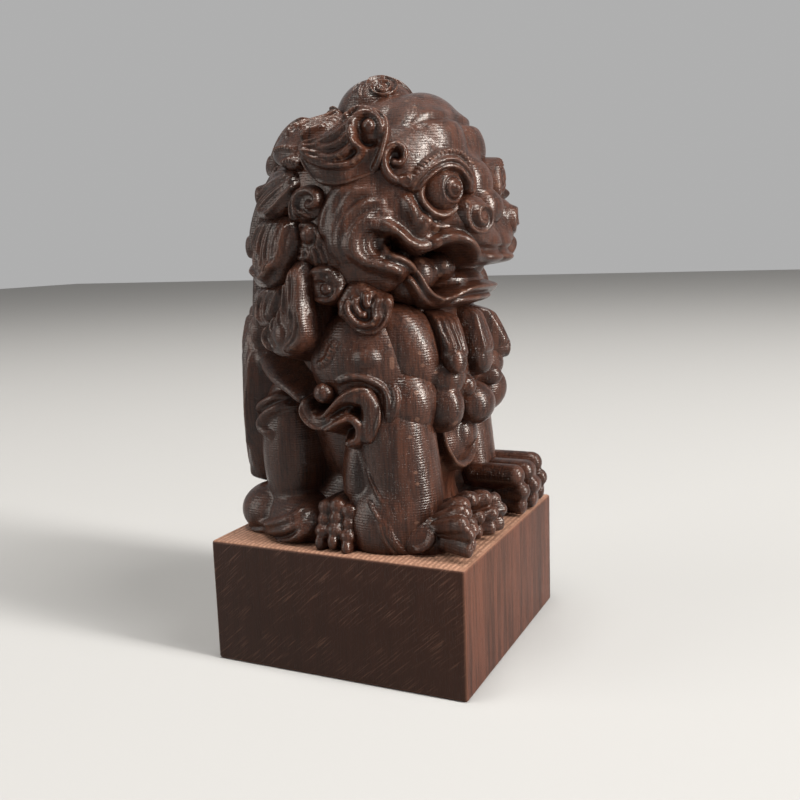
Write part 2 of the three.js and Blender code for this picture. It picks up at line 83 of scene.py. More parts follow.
@dataclass(frozen=True)
class Spine:
    """An upright line to carve round: rays leave it level, and fan out past its two ends."""

    across: float = 0.0
    back: float = 0.0
    low: float = 23.0
    high: float = 88.0
    scale: float = 22.0

    @property
    def degree(self) -> float:
        """Gives the degrees of one millimetre round the spine at its scale."""
        return math.degrees(1 / self.scale)

    @property
    def top(self) -> float:
        """Gives the height at which the rays point straight up."""
        return self.high + self.scale * math.pi / 2

    def rays(self, angle: Array, height: Array) -> tuple[Array, Array]:
        """Gives the foot and the direction of each ray.

        Args:
            angle: Degrees round the spine, from the front towards the right.
            height: Heights, which past the spine's ends tilt the ray.

        Returns:
            The rays' feet and their unit directions.
        """
        foot_height = np.clip(height, self.low, self.high)
        tilt = np.clip((height - foot_height) / self.scale, -math.pi / 2, math.pi / 2)
        turn = np.radians(angle)
        level = np.cos(tilt)
        foot = np.stack([np.full_like(level, self.across), np.full_like(level, self.back), foot_height], -1)
        way = np.stack([-level * np.sin(turn), -level * np.cos(turn), np.sin(tilt)], -1)
        return foot, way

    def locate(self, places: Array) -> tuple[Array, Array, Array]:
        """Finds the angles, heights and reaches of places, which rays turns back into places.

        Args:
            places: Places in millimetres.

        Returns:
            The angles, the heights and the reaches.
        """
        across, back, height = places[..., 0] - self.across, places[..., 1] - self.back, places[..., 2]
        level = np.hypot(across, back)
        foot_height = np.clip(height, self.low, self.high)
        tilt = np.arctan2(height - foot_height, level)
        angle = np.degrees(np.arctan2(-across, -back))
        return angle, foot_height + self.scale * tilt, np.hypot(level, height - foot_height)


AXIS = Spine()


@dataclass(frozen=True)
class Sight:
    """The photograph's viewpoint, fitted to the block's corners. It turns a pixel into a place on a form.

    Forms that the photograph shows from the side are drawn as routes of its pixels, which this turns into
    angles and heights on an upright round of a given reach. A pixel's ray is followed over a span of
    distances in even steps.
    """

    at: Triple = (-160.1, -78.0, 75.2)
    back: Triple = (-0.893137, -0.419813, 0.161440)
    up: Triple = (0.160809, 0.037164, 0.986286)
    lens: float = 42.0
    sensor: float = 36.0
    frame_size: int = 800
    span: Spot = (120.0, 225.0)
    step: float = 0.05

    def meet(self, pixels: Route, spine: Spine, surface: Callable[[Array, Array], Array]) -> Route:
        """Finds where the rays of pixels meet a surface round a spine.

        Args:
            pixels: The pixels, from the left and from the top.
            spine: The spine.
            surface: Gives the surface's reach at angles and heights.

        Returns:
            Angles and heights. A ray that passes beside the surface gives where it comes closest to it.
        """
        back, up, at = np.array(self.back), np.array(self.up), np.array(self.at)
        focal = self.frame_size * self.lens / self.sensor
        middle = self.frame_size / 2
        travel = np.arange(*self.span, self.step)[:, None]
        spots = []
        for across, down in pixels:
            way = (across - middle) / focal * np.cross(up, back) - (down - middle) / focal * up - back
            angle, height, reach = spine.locate(at + travel * way / np.linalg.norm(way))
            over = reach - surface(angle, height)
            hit = int(np.argmax(over < 0)) if (over < 0).any() else int(np.argmin(over))
            spots.append((float(angle[hit]), float(height[hit])))
        return spots

    def trace(self, pixels: Route, reach: float | Spot = 22.5) -> Route:
        """Turns a route of pixels into angles and heights on a round, or from one round to another.

        Args:
            pixels: The pixels.
            reach: The round's reach, or the reaches at the route's start and end.

        Returns:
            Angles and heights.
        """
        low, high = reach if isinstance(reach, tuple) else (reach, reach)
        last = max(len(pixels) - 1, 1)
        spots = []
        for number, pixel in enumerate(pixels):
            here = low + (high - low) * number / last
            spots += self.meet([pixel], AXIS, lambda angle, height: np.full_like(angle, here))
        return spots

    def spot(self, pixel: Spot, reach: float) -> Spot:
        """Turns one pixel into an angle and a height."""
        return self.trace([pixel], reach)[0]


SIGHT = Sight()


def soft_max(one: Array, other: Array, blend: float) -> Array:
    """Gives the larger of two surfaces, with a fillet of the blend's size where they cross."""
    if blend <= 0:
        return np.maximum(one, other)
    near = np.maximum(blend - np.abs(one - other), 0.0) / blend
    return np.maximum(one, other) + near * near * blend / 4


def soft_curve(points: Route, steps: int = 10, closed: bool = False) -> Array:
    """Draws a smooth curve through points.

    Args:
        points: The points in order.
        steps: How many short lines run from each point to the next.
        closed: Whether the curve runs back to its first point.

    Returns:
        The curve's points.
    """
    knots = np.array(points, float)
    if closed:
        knots = np.vstack([knots[-1:], knots, knots[:2]])
    else:
        knots = np.vstack([2 * knots[0] - knots[1], knots, 2 * knots[-1] - knots[-2]])
    share = np.linspace(0, 1, steps, endpoint=False)[:, None]
    parts = []
    for a, b, c, d in zip(knots, knots[1:], knots[2:], knots[3:]):
        bend = (2 * a - 5 * b + 4 * c - d) * share**2 + (3 * b - a - 3 * c + d) * share**3
        parts.append(0.5 * (2 * b + (c - a) * share + bend))
    return np.vstack(parts + [knots[1:2] if closed else knots[-2:-1]])


def scroll(centre: Spot, outer: float, inner: float, turns: float, start: float, wide: float = 1.0,
           tall: float = 1.0) -> Route:
    """Gives the points of a scroll, from its outer end to its inner one.

    Args:
        centre: The scroll's middle, in pixels or as an angle and a height.
        outer: Its outer radius.
        inner: Its inner radius.
        turns: How many turns it makes, below 0 for the other hand.
        start: The direction of its outer end in degrees.
        wide: How much of the first coordinate one unit of radius is.
        tall: How much of the second one it is.

    Returns:
        The points.
    """
    per_turn, fewest = 9, 5
    count = max(int(abs(turns) * per_turn), fewest)
    points = []
    for step in range(count + 1):
        share = step / count
        turn = math.radians(start + 360 * turns * share)
        radius = outer + (inner - outer) * share
        aside, upward = wide * radius * math.cos(turn), tall * radius * math.sin(turn)
        points.append((centre[0] + aside, centre[1] + upward))
    return points


@dataclass
class Nearness:
    """Where a surface lies near a route: the places, and how each one stands to the route."""

    where: tuple[Array, ...]
    distance: Array
    share: Array
    length: float


@dataclass(frozen=True)
class Ball:
    """An oval ball as seen along the rays.

    Its sizes are the angle and height of its middle, how far from the main axis its middle lies, its half
    width round the axis, its half depth along the reach, its half height, the fillet to what is there, and
    how far it leans, in degrees, with its top towards the lion's back.
    """

    spot: Spot
    reach: float
    width: float
    depth: float
    tall: float
    blend: float = 1.0
    turn: float = 0.0


class Relief:
    """A carved surface: its reach from a spine over a grid of angles and heights.

    Both sides of the lion are alike, so an angle counts by its size, and a route on the right side carves
    the left one too where the grid covers it.
    """

    def __init__(self, spine: Spine, angles: Spot, heights: Spot, floor: float, pitch: float) -> None:
        """Lays the grid out at an even reach.

        Args:
            spine: The upright line that the rays leave.
            angles: The first and last angle.
            heights: The lowest and highest height.
            floor: The reach to start from, below the neighbours' surfaces.
            pitch: The grid's spacing at the spine's scale.
        """
        self.spine = spine
        wide = math.radians(angles[1] - angles[0]) * spine.scale
        self.columns = max(int(wide / pitch), 8)
        self.rows = max(int((heights[1] - heights[0]) / pitch), 8)
        turn = np.linspace(*angles, self.columns + 1)
        rise = np.linspace(*heights, self.rows + 1)
        self.angle, self.height = np.meshgrid(turn, rise)
        self.folded = np.abs((self.angle + 180) % 360 - 180)
        self.across = np.radians(self.folded) * spine.scale
        self.floor = floor
        self.reach = np.full(self.angle.shape, float(floor))
        self.foot, self.way = spine.rays(self.angle, self.height)
        self.folded_foot, self.folded_way = spine.rays(self.folded, self.height)

    def flat(self, points: Route) -> Route:
        """Turns angles and heights into millimetres across and up."""
        return [(math.radians(angle) * self.spine.scale, height) for angle, height in points]

    def near(self, route: Array, margin: float) -> tuple[Array, ...]:
        """Finds the grid's places within a margin of a route's box."""
        low, high = route.min(0) - margin, route.max(0) + margin
        inside = (self.across > low[0]) & (self.across < high[0])
        return np.nonzero(inside & (self.height > low[1]) & (self.height < high[1]))

    def measure(self, route: Array, margin: float) -> Nearness:
        """Measures the places near a route against it.

        Args:
            route: The route's points in millimetres.
            margin: How far from the route's box places still count.

        Returns:
            The places, their distances from the route and their shares along it.
        """
        where = self.near(route, margin)
        x, y = self.across[where], self.height[where]
        steps = np.diff(route, axis=0)
        lengths = np.maximum(np.hypot(*steps.T), TINY)
        run = np.concatenate([[0.0], np.cumsum(lengths)])
        best = np.full(x.shape, np.inf)
        share = np.zeros(x.shape)
        for start, step, length, before in zip(route, steps, lengths, run):
            along_x, along_y = step / length
            off_x, off_y = x - start[0], y - start[1]
            along = np.clip(off_x * along_x + off_y * along_y, 0, length)
            gap = np.hypot(off_x - along * along_x, off_y - along * along_y)
            nearer = gap < best
            best = np.where(nearer, gap, best)
            share = np.where(nearer, (before + along) / run[-1], share)
        return Nearness(where, best, share, float(run[-1]))

    def sample(self, angle: Array, height: Array) -> Array:
        """Gives the surface's reach at angles and heights, past its edges as at its nearest edge."""
        turn, rise = self.angle[0], self.height[:, 0]
        column = np.clip((angle - turn[0]) / (turn[-1] - turn[0]) * self.columns, 0, self.columns)
        row = np.clip((height - rise[0]) / (rise[-1] - rise[0]) * self.rows, 0, self.rows)
        return self.reach[np.rint(row).astype(int), np.rint(column).astype(int)]

    def trace(self, pixels: Route) -> Route:
        """Turns a route of the photograph's pixels into angles and heights on this surface."""
        return SIGHT.meet(pixels, self.spine, self.sample)

    def build_up(self, *balls: Ball) -> None:
        """Adds balls in order."""
        for ball in balls:
            self.add_ball(ball)

    def add_ball(self, ball: Ball) -> None:
        """Adds an oval ball.

        Args:
            ball: Its place and sizes.
        """
        angle = math.radians(ball.spot[0])
        out = np.array([-math.sin(angle), -math.cos(angle), 0.0])
        aside = np.array([-math.cos(angle), math.sin(angle), 0.0])
        upright = np.array([0.0, 0.0, 1.0])
        lean = math.radians(ball.turn)
        axes = (
            (math.cos(lean) * aside - math.sin(lean) * upright) / ball.width,
            out / ball.depth,
            (math.sin(lean) * aside + math.cos(lean) * upright) / ball.tall,
        )
        middle = out * ball.reach + upright * ball.spot[1]
        start = self.folded_foot - middle
        a = sum((self.folded_way @ axis) ** 2 for axis in axes)
        b = sum((self.folded_way @ axis) * (start @ axis) for axis in axes)
        c = sum((start @ axis) ** 2 for axis in axes) - 1
        inside = b * b - a * c
        hit = np.where(inside > 0, (-b + np.sqrt(np.maximum(inside, 0))) / a, MISSED)
        self.reach = soft_max(self.reach, hit, ball.blend)

    def band(self, points: Route, width: float, reach: float | Spot, rise: float,
             blend: float = 0.4, root: float = 1.0, tip: float = 1.0, swell: float = 0.0, wall: float = 3.0,
             fullness: float = 0.5) -> None:
        """Adds a raised band with a round back along a route.

        Args:
            points: Angles and heights.
            width: The band's half width.
            reach: The reach of its edges, or of its edges at the route's start and end.
            rise: How far its back stands over its edges.
            blend: The fillet to what is there.
            root: The share of the width at the route's start.
            tip: The share of the width at its end.
            swell: The share of the width that its middle has more.
            wall: How steeply it drops outside its edges.
            fullness: The power of its back's profile: 0.5 is round and 0.25 is boxy.
        """
        route = soft_curve(self.flat(points))
        low, high = reach if isinstance(reach, tuple) else (reach, reach)
        near = self.measure(route, width * max(root, tip, 1 + swell) + 2.0)
        half = width * (root + (tip - root) * near.share + swell * np.sin(math.pi * near.share))
        edge = near.distance / half
        value = low + (high - low) * near.share + rise * np.maximum(1 - edge**2, 0) ** fullness
        value = value - np.maximum(edge - 1, 0) * half * wall
        self.reach[near.where] = soft_max(self.reach[near.where], value, blend)

    def ridge(self, points: Route, width: float, height: float, fade: float = 0.12, notch: float = 0.0,
              notch_pitch: float = 0.9, closed: bool = False) -> None:
        """Adds a ridge along a route, or a groove where the height is below 0.

        Args:
            points: Angles and heights.
            width: The half width.
            height: The height at the middle.
            fade: The share of the route over which each end runs out.
            notch: The share of the height that notches take away.
            notch_pitch: The spacing of the notches.
            closed: Whether the route is a ring.
        """
        crest_power, groove_power = 0.8, 1.2
        route = soft_curve(self.flat(points), closed=closed)
        near = self.measure(route, width + 0.3)
        edge = np.clip(near.distance / width, 0, 1)
        bell = (1 - edge**2) ** crest_power if height > 0 else (1 - edge) ** groove_power
        ends = np.clip(np.minimum(near.share, 1 - near.share) / fade, 0, 1)
        size = height * bell * (1.0 if closed else ends**0.5)
        if notch:
            wave = 0.5 - 0.5 * np.cos(2 * math.pi * near.share * near.length / notch_pitch)
            size = size * (1 - notch * wave)
        self.reach[near.where] += size

    def hair(self, strands: Sequence[Route], between: int = 2, width: float = 0.32,
             height: float = 0.32) -> None:
        """Lays finer strands between each strand and the next.

        Args:
            strands: The strands' routes in order, in angles and heights.
            between: How many finer strands lie between two.
            width: Their half width.
            height: Their height.
        """
        knots = 6
        share = np.linspace(0, 1, knots)
        evened = []
        for strand in strands:
            spots = np.array(strand)
            place = np.linspace(0, 1, len(spots))
            evened.append(np.stack([np.interp(share, place, spots[:, axis]) for axis in range(2)], -1))
        for one, other in zip(evened, evened[1:]):
            for number in range(between):
                part = (number + 1) / (between + 1)
                self.ridge((one + (other - one) * part).tolist(), width, height, fade=0.15)

    def dome(self, spot: Spot, width: float, tall: float, height: float, turn: float = 0.0) -> None:
        """Adds a soft oval bump, or a dent where the height is below 0.

        Args:
            spot: The angle and height of its middle.
            width: Its half width.
            tall: Its half height.
            height: How far it stands out.
            turn: How far it leans, in degrees, with its top towards the lion's back.
        """
        (x, y), = self.flat([spot])
        where = self.near(np.array([[x, y]]), max(width, tall) * 1.05)
        off_x, off_y = self.across[where] - x, self.height[where] - y
        lean = math.radians(turn)
        u = (off_x * math.cos(lean) - off_y * math.sin(lean)) / width
        v = (off_x * math.sin(lean) + off_y * math.cos(lean)) / tall
        self.reach[where] += height * np.maximum(1 - u * u - v * v, 0) ** 1.5

    def bead(self, spot: Spot, radius: float, height: float, tall: float = 1.0,
             blend: float = 0.15) -> None:
        """Sets a round bead on the surface.

        Args:
            spot: The angle and height of its middle.
            radius: Its half width.
            height: How far it stands out from the surface at its middle.
            tall: Its half height as a share of the radius.
            blend: The fillet round it.
        """
        (x, y), = self.flat([spot])
        where = self.near(np.array([[x, y]]), radius * max(1.0, tall) * 1.3)
        if not where[0].size:
            return
        off = np.hypot(self.across[where] - x, (self.height[where] - y) / tall) / radius
        base = float(self.reach[where][np.argmin(off)])
        value = base + height * np.sqrt(np.maximum(1 - off**2, 0)) - np.maximum(off - 1, 0) * radius * 6
        self.reach[where] = soft_max(self.reach[where], value, blend)

    def inside(self, outline: Route, margin: float = 2.0) -> tuple[tuple[Array, ...], Array]:
        """Measures how far places lie inside a closed outline.

        Args:
            outline: Angles and heights.
            margin: How far from its box places still count.

        Returns:
            The places, and their depths inside the outline, below 0 outside it.
        """
        route = soft_curve(self.flat(outline), steps=8, closed=True)
        near = self.measure(route, margin)
        x, y = self.across[near.where], self.height[near.where]
        within = np.zeros(x.shape, bool)
        for (ax, ay), (bx, by) in zip(route[:-1], route[1:]):
            slope = (bx - ax) / (by - ay) if abs(by - ay) > TINY else 0.0
            within ^= ((ay > y) != (by > y)) & (x < slope * (y - ay) + ax)
        return near.where, np.where(within, near.distance, -near.distance)

    def hollow(self, outline: Route, reach: float, edge: float, steep: float = 3.0) -> None:
        """Sinks the surface inside an outline to a reach.

        Args:
            outline: Angles and heights.
            reach: The reach of the hollow's bed.
            edge: The radius of its lip.
            steep: How steeply its sides fall.
        """
        where, depth = self.inside(outline)
        lowered = self.reach[where] - steep * soft_max(depth, np.zeros_like(depth), 2 * edge)
        bed = np.minimum(self.reach[where], reach)
        self.reach[where] = np.where(depth > -edge, np.maximum(lowered, bed), self.reach[where])

    def plate(self, outline: Route, reach: float, rise: float, edge: float, blend: float = 0.3,
              wall: float = 4.0) -> None:
        """Adds a raised plate with rounded edges inside an outline.

        Args:
            outline: Angles and heights.
            reach: The reach of its edge.
            rise: How far its middle stands over its edge.
            edge: How wide its rounded margin is.
            blend: The fillet to what is there.
            wall: How steeply it drops outside.
        """
        where, depth = self.inside(outline)
        grow = np.clip(depth / edge, 0, 1)
        value = reach + rise * np.sqrt(1 - (1 - grow) ** 2) + np.minimum(depth, 0) * wall
        self.reach[where] = soft_max(self.reach[where], value, blend)

    def trim(self, outline: Route, edge: float, drop: float, wall: float = 4.0) -> None:
        """Rounds the surface down to an outline and cuts it away outside it.

        Args:
            outline: Angles and heights.
            edge: How wide the rounded margin is.
            drop: How far the margin falls.
            wall: How steeply the cut goes in.
        """
        where, depth = self.inside(outline, WHOLE)
        grow = np.clip(depth / edge, 0, 1)
        fall = drop * (1 - np.sqrt(1 - (1 - grow) ** 2)) - np.minimum(depth, 0) * wall
        self.reach[where] = np.maximum(self.reach[where] - fall, self.floor)

    def soften(self, times: int = 1) -> None:
        """Rounds the surface a little by averaging neighbours.

        Args:
            times: How often.
        """
        for _ in range(times):
            reach = np.pad(self.reach, 1, mode="edge")
            reach = (reach[:-2] + 2 * reach[1:-1] + reach[2:]) / 4
            self.reach = (reach[:, :-2] + 2 * reach[:, 1:-1] + reach[:, 2:]) / 4

    def places(self) -> Array:
        """Gives the surface's places in millimetres."""
        return self.foot + self.way * self.reach[..., None]


def mesh_of(bm: bmesh.types.BMesh, name: str) -> bpy.types.Object:
    """Turns a bmesh into an object in the scene and frees the bmesh.

    Args:
        bm: The mesh, in metres.
        name: The piece's name.

    Returns:
        The object, at the origin.
    """
    data = bpy.data.meshes.new(name)
    bm.to_mesh(data)
    bm.free()
    data.shade_smooth()
    piece = bpy.data.objects.new(name, data)
    bpy.context.scene.collection.objects.link(piece)
    return piece


def around(edge: Route) -> tuple[Spot, Spot]:
    """Gives the span of angles and the span of heights that take in an outline with some room round it."""
    room = np.array((5.0, 2.0))
    low, high = np.min(edge, axis=0) - room, np.max(edge, axis=0) + room
    return (low[0], high[0]), (low[1], high[1])


def carve(relief: Relief, name: str, seat: Triple | None = None,
          mirrored: bool = False) -> bpy.types.Object:
    """Makes a closed solid from a carved surface.

    Args:
        relief: The surface.
        name: The piece's name.
        seat: A place inside the lion that the surface's open edges are drawn in to, in millimetres.
        mirrored: Whether to make the piece for the lion's left side.

    Returns:
        The piece.
    """
    bm = bmesh.new()
    bmesh.ops.create_grid(bm, x_segments=relief.columns, y_segments=relief.rows, size=1.0)
    data = bpy.data.meshes.new("grid")
    bm.to_mesh(data)
    spots = np.empty(len(data.vertices) * 3)
    data.vertices.foreach_get("co", spots)
    spots = spots.reshape(-1, 3)
    column = np.rint((spots[:, 0] + 1) / 2 * relief.columns).astype(int)
    row = np.rint((spots[:, 1] + 1) / 2 * relief.rows).astype(int)
    places = relief.places()[row, column] * MM
    data.vertices.foreach_set("co", places.ravel())
    bm.clear()
    bm.from_mesh(data)
    bpy.data.meshes.remove(data)
    bmesh.ops.remove_doubles(bm, verts=bm.verts, dist=1e-6)
    edges = [edge for edge in bm.edges if edge.is_boundary]
    if edges:
        grown = bmesh.ops.extrude_edge_only(bm, edges=edges)["geom"]
        corners = [item for item in grown if isinstance(item, bmesh.types.BMVert)]
        at = Vector(seat or (0.0, 0.0, float(relief.height.mean()))) * MM
        bmesh.ops.pointmerge(bm, verts=corners, merge_co=at)
    if mirrored:
        bmesh.ops.scale(bm, vec=(-1.0, 1.0, 1.0), verts=bm.verts)
    bmesh.ops.recalc_face_normals(bm, faces=bm.faces)
    return mesh_of(bm, name)


# Finishes


class Wiring:
    """A node tree being wired: it adds nodes and links their sockets by name."""

    def __init__(self, tree: bpy.types.NodeTree) -> None:
        """Takes the tree."""
        self.tree = tree

    def add(self, kind: str, settings: dict | None = None, **inputs: object) -> bpy.types.Node:
        """Adds a node.

        Args:
            kind: The node's type without its Shader Node prefix.
            settings: Its properties.
            inputs: Values or output sockets for its input sockets, by name with underscores for spaces.

        Returns:
            The node.
        """
        node = self.tree.nodes.new(f"ShaderNode{kind}")
        for name, value in (settings or {}).items():
            setattr(node, name, value)
        for name, value in inputs.items():
            socket = node.inputs[name.replace("_", " ")]
            self.feed(socket, value)
        return node

    def feed(self, socket: bpy.types.NodeSocket, value: object) -> None:
        """Links an output to a socket, or sets the socket's value."""
        if isinstance(value, bpy.types.NodeSocket):
            self.tree.links.new(value, socket)
        else:
            socket.default_value = value

    def math(self, operation: str, *values: object) -> bpy.types.NodeSocket:
        """Adds a sum of one, two or three values and gives its output."""
        node = self.tree.nodes.new("ShaderNodeMath")
        node.operation = operation
        for socket, value in zip(node.inputs, values):
            self.feed(socket, value)
        return node.outputs[0]

    def span(self, value: object, low: float, high: float, start: float = 0.0,
             end: float = 1.0) -> bpy.types.NodeSocket:
        """Spreads a span of values smoothly over another one and gives the output."""
        node = self.tree.nodes.new("ShaderNodeMapRange")
        node.interpolation_type = "SMOOTHSTEP"
        for name, amount in (("Value", value), ("From Min", low), ("From Max", high), ("To Min", start),
                             ("To Max", end)):
            self.feed(node.inputs[name], amount)
        return node.outputs[0]

    def noise(self, vector: object, stretch: Triple, detail: float) -> bpy.types.NodeSocket:
        """Adds noise over coordinates in metres, with its grain per millimetre, and gives its value."""
        scaled = self.tree.nodes.new("ShaderNodeVectorMath")
        scaled.operation = "MULTIPLY"
        self.feed(scaled.inputs[0], vector)
        self.feed(scaled.inputs[1], tuple(share / MM for share in stretch))
        node = self.add("TexNoise", Vector=scaled.outputs[0], Scale=1.0, Detail=detail)
        return node.outputs["Fac"]

    def seen(self) -> bpy.types.NodeSocket:
        """Gives 1 for rays from the camera, straight or by way of a gloss or a glass, and 0 for others."""
        path = self.add("LightPath").outputs
        gloss = self.math("MAXIMUM", path["Is Glossy Ray"], path["Is Transmission Ray"])
        return self.math("MAXIMUM", path["Is Camera Ray"], gloss)

    def mix(self, share: object, one: object, other: object) -> bpy.types.NodeSocket:
        """Mixes two colours and gives the output."""
        node = self.tree.nodes.new("ShaderNodeMix")
        node.data_type = "RGBA"
        self.feed(node.inputs["Factor"], share)
        self.feed(node.inputs[6], one)
        self.feed(node.inputs[7], other)
        return node.outputs[2]


def opaque(colour: Triple) -> tuple[float, float, float, float]:
    """Gives a colour with full opacity, as a colour socket takes it."""
    return (*colour, 1.0)


def new_group(name: str, inputs: Sequence[tuple[str, str, object]],
              outputs: Sequence[tuple[str, str]]) -> Wiring:
    """Starts a shader node group with named sockets.

    Args:
        name: The group's name.
        inputs: Each input's name, socket type and default.
        outputs: Each output's name and socket type.

    Returns:
        The group's wiring, with its input and output nodes in it.
    """
    tree = bpy.data.node_groups.new(name, "ShaderNodeTree")
    for label, kind, value in inputs:
        socket = tree.interface.new_socket(label, in_out="INPUT", socket_type=kind)
        if value is not None:
            socket.default_value = value
    for label, kind in outputs:
        tree.interface.new_socket(label, in_out="OUTPUT", socket_type=kind)
    tree.nodes.new("NodeGroupInput")
    tree.nodes.new("NodeGroupOutput")
    return Wiring(tree)


@dataclass
class WoodEffects:
    """The node groups that both finishes share. A stretch is a noise's grain per millimetre."""

    fibre_stretch: Triple = (2.6, 2.6, 0.10)
    fibre_share: float = 0.55
    band_stretch: Triple = (0.55, 0.55, 0.016)
    band_share: float = 0.45
    spread: float = 0.16
    pore_stretch: Triple = (7.0, 7.0, 0.55)
    pore_span: Spot = (0.58, 0.70)
    pore_shade: float = 0.6
    wander_stretch: Triple = (0.35, 0.35, 0.35)
    chip_stretch: Triple = (1.3, 1.3, 3.0)
    chip_span: Spot = (0.28, 0.60)

    def __post_init__(self) -> None:
        """Makes the groups."""
        self.hardwood = self.make_hardwood()
        self.lines = self.make_lines()

    def make_hardwood(self) -> bpy.types.NodeTree:
        """Makes the grain: a colour with upright fibres, and a mask of the pores.

        Returns:
            The group.
        """
        wiring = new_group(
            "hardwood",
            (("Vector", "NodeSocketVector", None), ("Dark", "NodeSocketColor", (0.02, 0.01, 0.01, 1)),
             ("Light", "NodeSocketColor", (0.1, 0.05, 0.04, 1)), ("Contrast", "NodeSocketFloat", 1.0)),
            (("Color", "NodeSocketColor"), ("Pores", "NodeSocketFloat")))
        start, end = wiring.tree.nodes["Group Input"].outputs, wiring.tree.nodes["Group Output"].inputs
        fibre = wiring.noise(start["Vector"], self.fibre_stretch, 4.0)
        band = wiring.noise(start["Vector"], self.band_stretch, 2.0)
        both = wiring.math("ADD", wiring.math("MULTIPLY", fibre, self.fibre_share),
                           wiring.math("MULTIPLY", band, self.band_share))
        centred = wiring.math("MULTIPLY", wiring.math("SUBTRACT", both, 0.5), start["Contrast"])
        share = wiring.span(centred, -self.spread, self.spread)
        pores = wiring.span(wiring.noise(start["Vector"], self.pore_stretch, 2.0), *self.pore_span)
        colour = wiring.mix(share, start["Dark"], start["Light"])
        darker = wiring.math("MULTIPLY", pores, self.pore_shade)
        wiring.feed(end["Color"], wiring.mix(darker, colour, start["Dark"]))
        wiring.feed(end["Pores"], pores)
        return wiring.tree

    def make_lines(self) -> bpy.types.NodeTree:
        """Makes the cutter's lines: a height that waves along a length and comes and goes.

        Returns:
            The group.
        """
        wiring = new_group(
            "cutter_lines",
            (("Vector", "NodeSocketVector", None), ("Length", "NodeSocketFloat", 0.0),
             ("Pitch", "NodeSocketFloat", 0.00044), ("Wander", "NodeSocketFloat", 0.5)),
            (("Height", "NodeSocketFloat"),))
        start, end = wiring.tree.nodes["Group Input"].outputs, wiring.tree.nodes["Group Output"].inputs
        turns = wiring.math("DIVIDE", start["Length"], start["Pitch"])
        wander = wiring.noise(start["Vector"], self.wander_stretch, 2.0)
        shift = wiring.math("MULTIPLY", wander, start["Wander"])
        wave = wiring.math("SINE", wiring.math("MULTIPLY", wiring.math("ADD", turns, shift), 2 * math.pi))
        presence = wiring.span(wiring.noise(start["Vector"], self.chip_stretch, 2.0), *self.chip_span)
        height = wiring.math("MULTIPLY", wiring.math("MULTIPLY_ADD", wave, 0.5, 0.5), presence)
        wiring.feed(end["Height"], height)
        return wiring.tree

    def grain(self, wiring: Wiring, place: object, dark: Triple, light: Triple,
              contrast: float) -> bpy.types.bpy_prop_collection:
        """Puts the grain into a material.

        Args:
            wiring: The material's wiring.
            place: The coordinates.
            dark: The wood's dark colour.
            light: Its light colour.
            contrast: How far the two are parted.

        Returns:
            The group's outputs.
        """
        return wiring.add("Group", {"node_tree": self.hardwood}, Vector=place, Dark=opaque(dark),
                          Light=opaque(light), Contrast=contrast).outputs

    def cutter(self, wiring: Wiring, place: object, length: object, pitch: float,
               wander: float) -> bpy.types.NodeSocket:
        """Puts the cutter's lines into a material.

        Args:
            wiring: The material's wiring.
            place: The coordinates.
            length: The length that the lines follow each other along, in metres.
            pitch: Their spacing in millimetres.
            wander: How far they wander, as a share of the spacing.

        Returns:
            The lines' height, from 0 to 1.
        """
        return wiring.add("Group", {"node_tree": self.lines}, Vector=place, Length=length, Pitch=pitch * MM,
                          Wander=wander).outputs["Height"]

    @staticmethod
    def emboss(wiring: Wiring, cut: object, cut_depth: float, pores: object,
               pore_depth: float) -> bpy.types.NodeSocket:
        """Gives the normal of a surface with cuts and pores in it.

        Args:
            wiring: The material's wiring.
            cut: The cuts' height.
            cut_depth: Their depth in millimetres.
            pores: The pores' mask.
            pore_depth: Their depth in millimetres.

        Returns:
            The normal.
        """
        lit_milled_top = wiring.add("Bump", Height=cut, Strength=1.0, Distance=cut_depth * MM)
        pitted = wiring.add("Bump", {"invert": True}, Height=pores, Strength=1.0, Distance=pore_depth * MM,
                            Normal=lit_milled_top.outputs["Normal"])
        return pitted.outputs["Normal"]


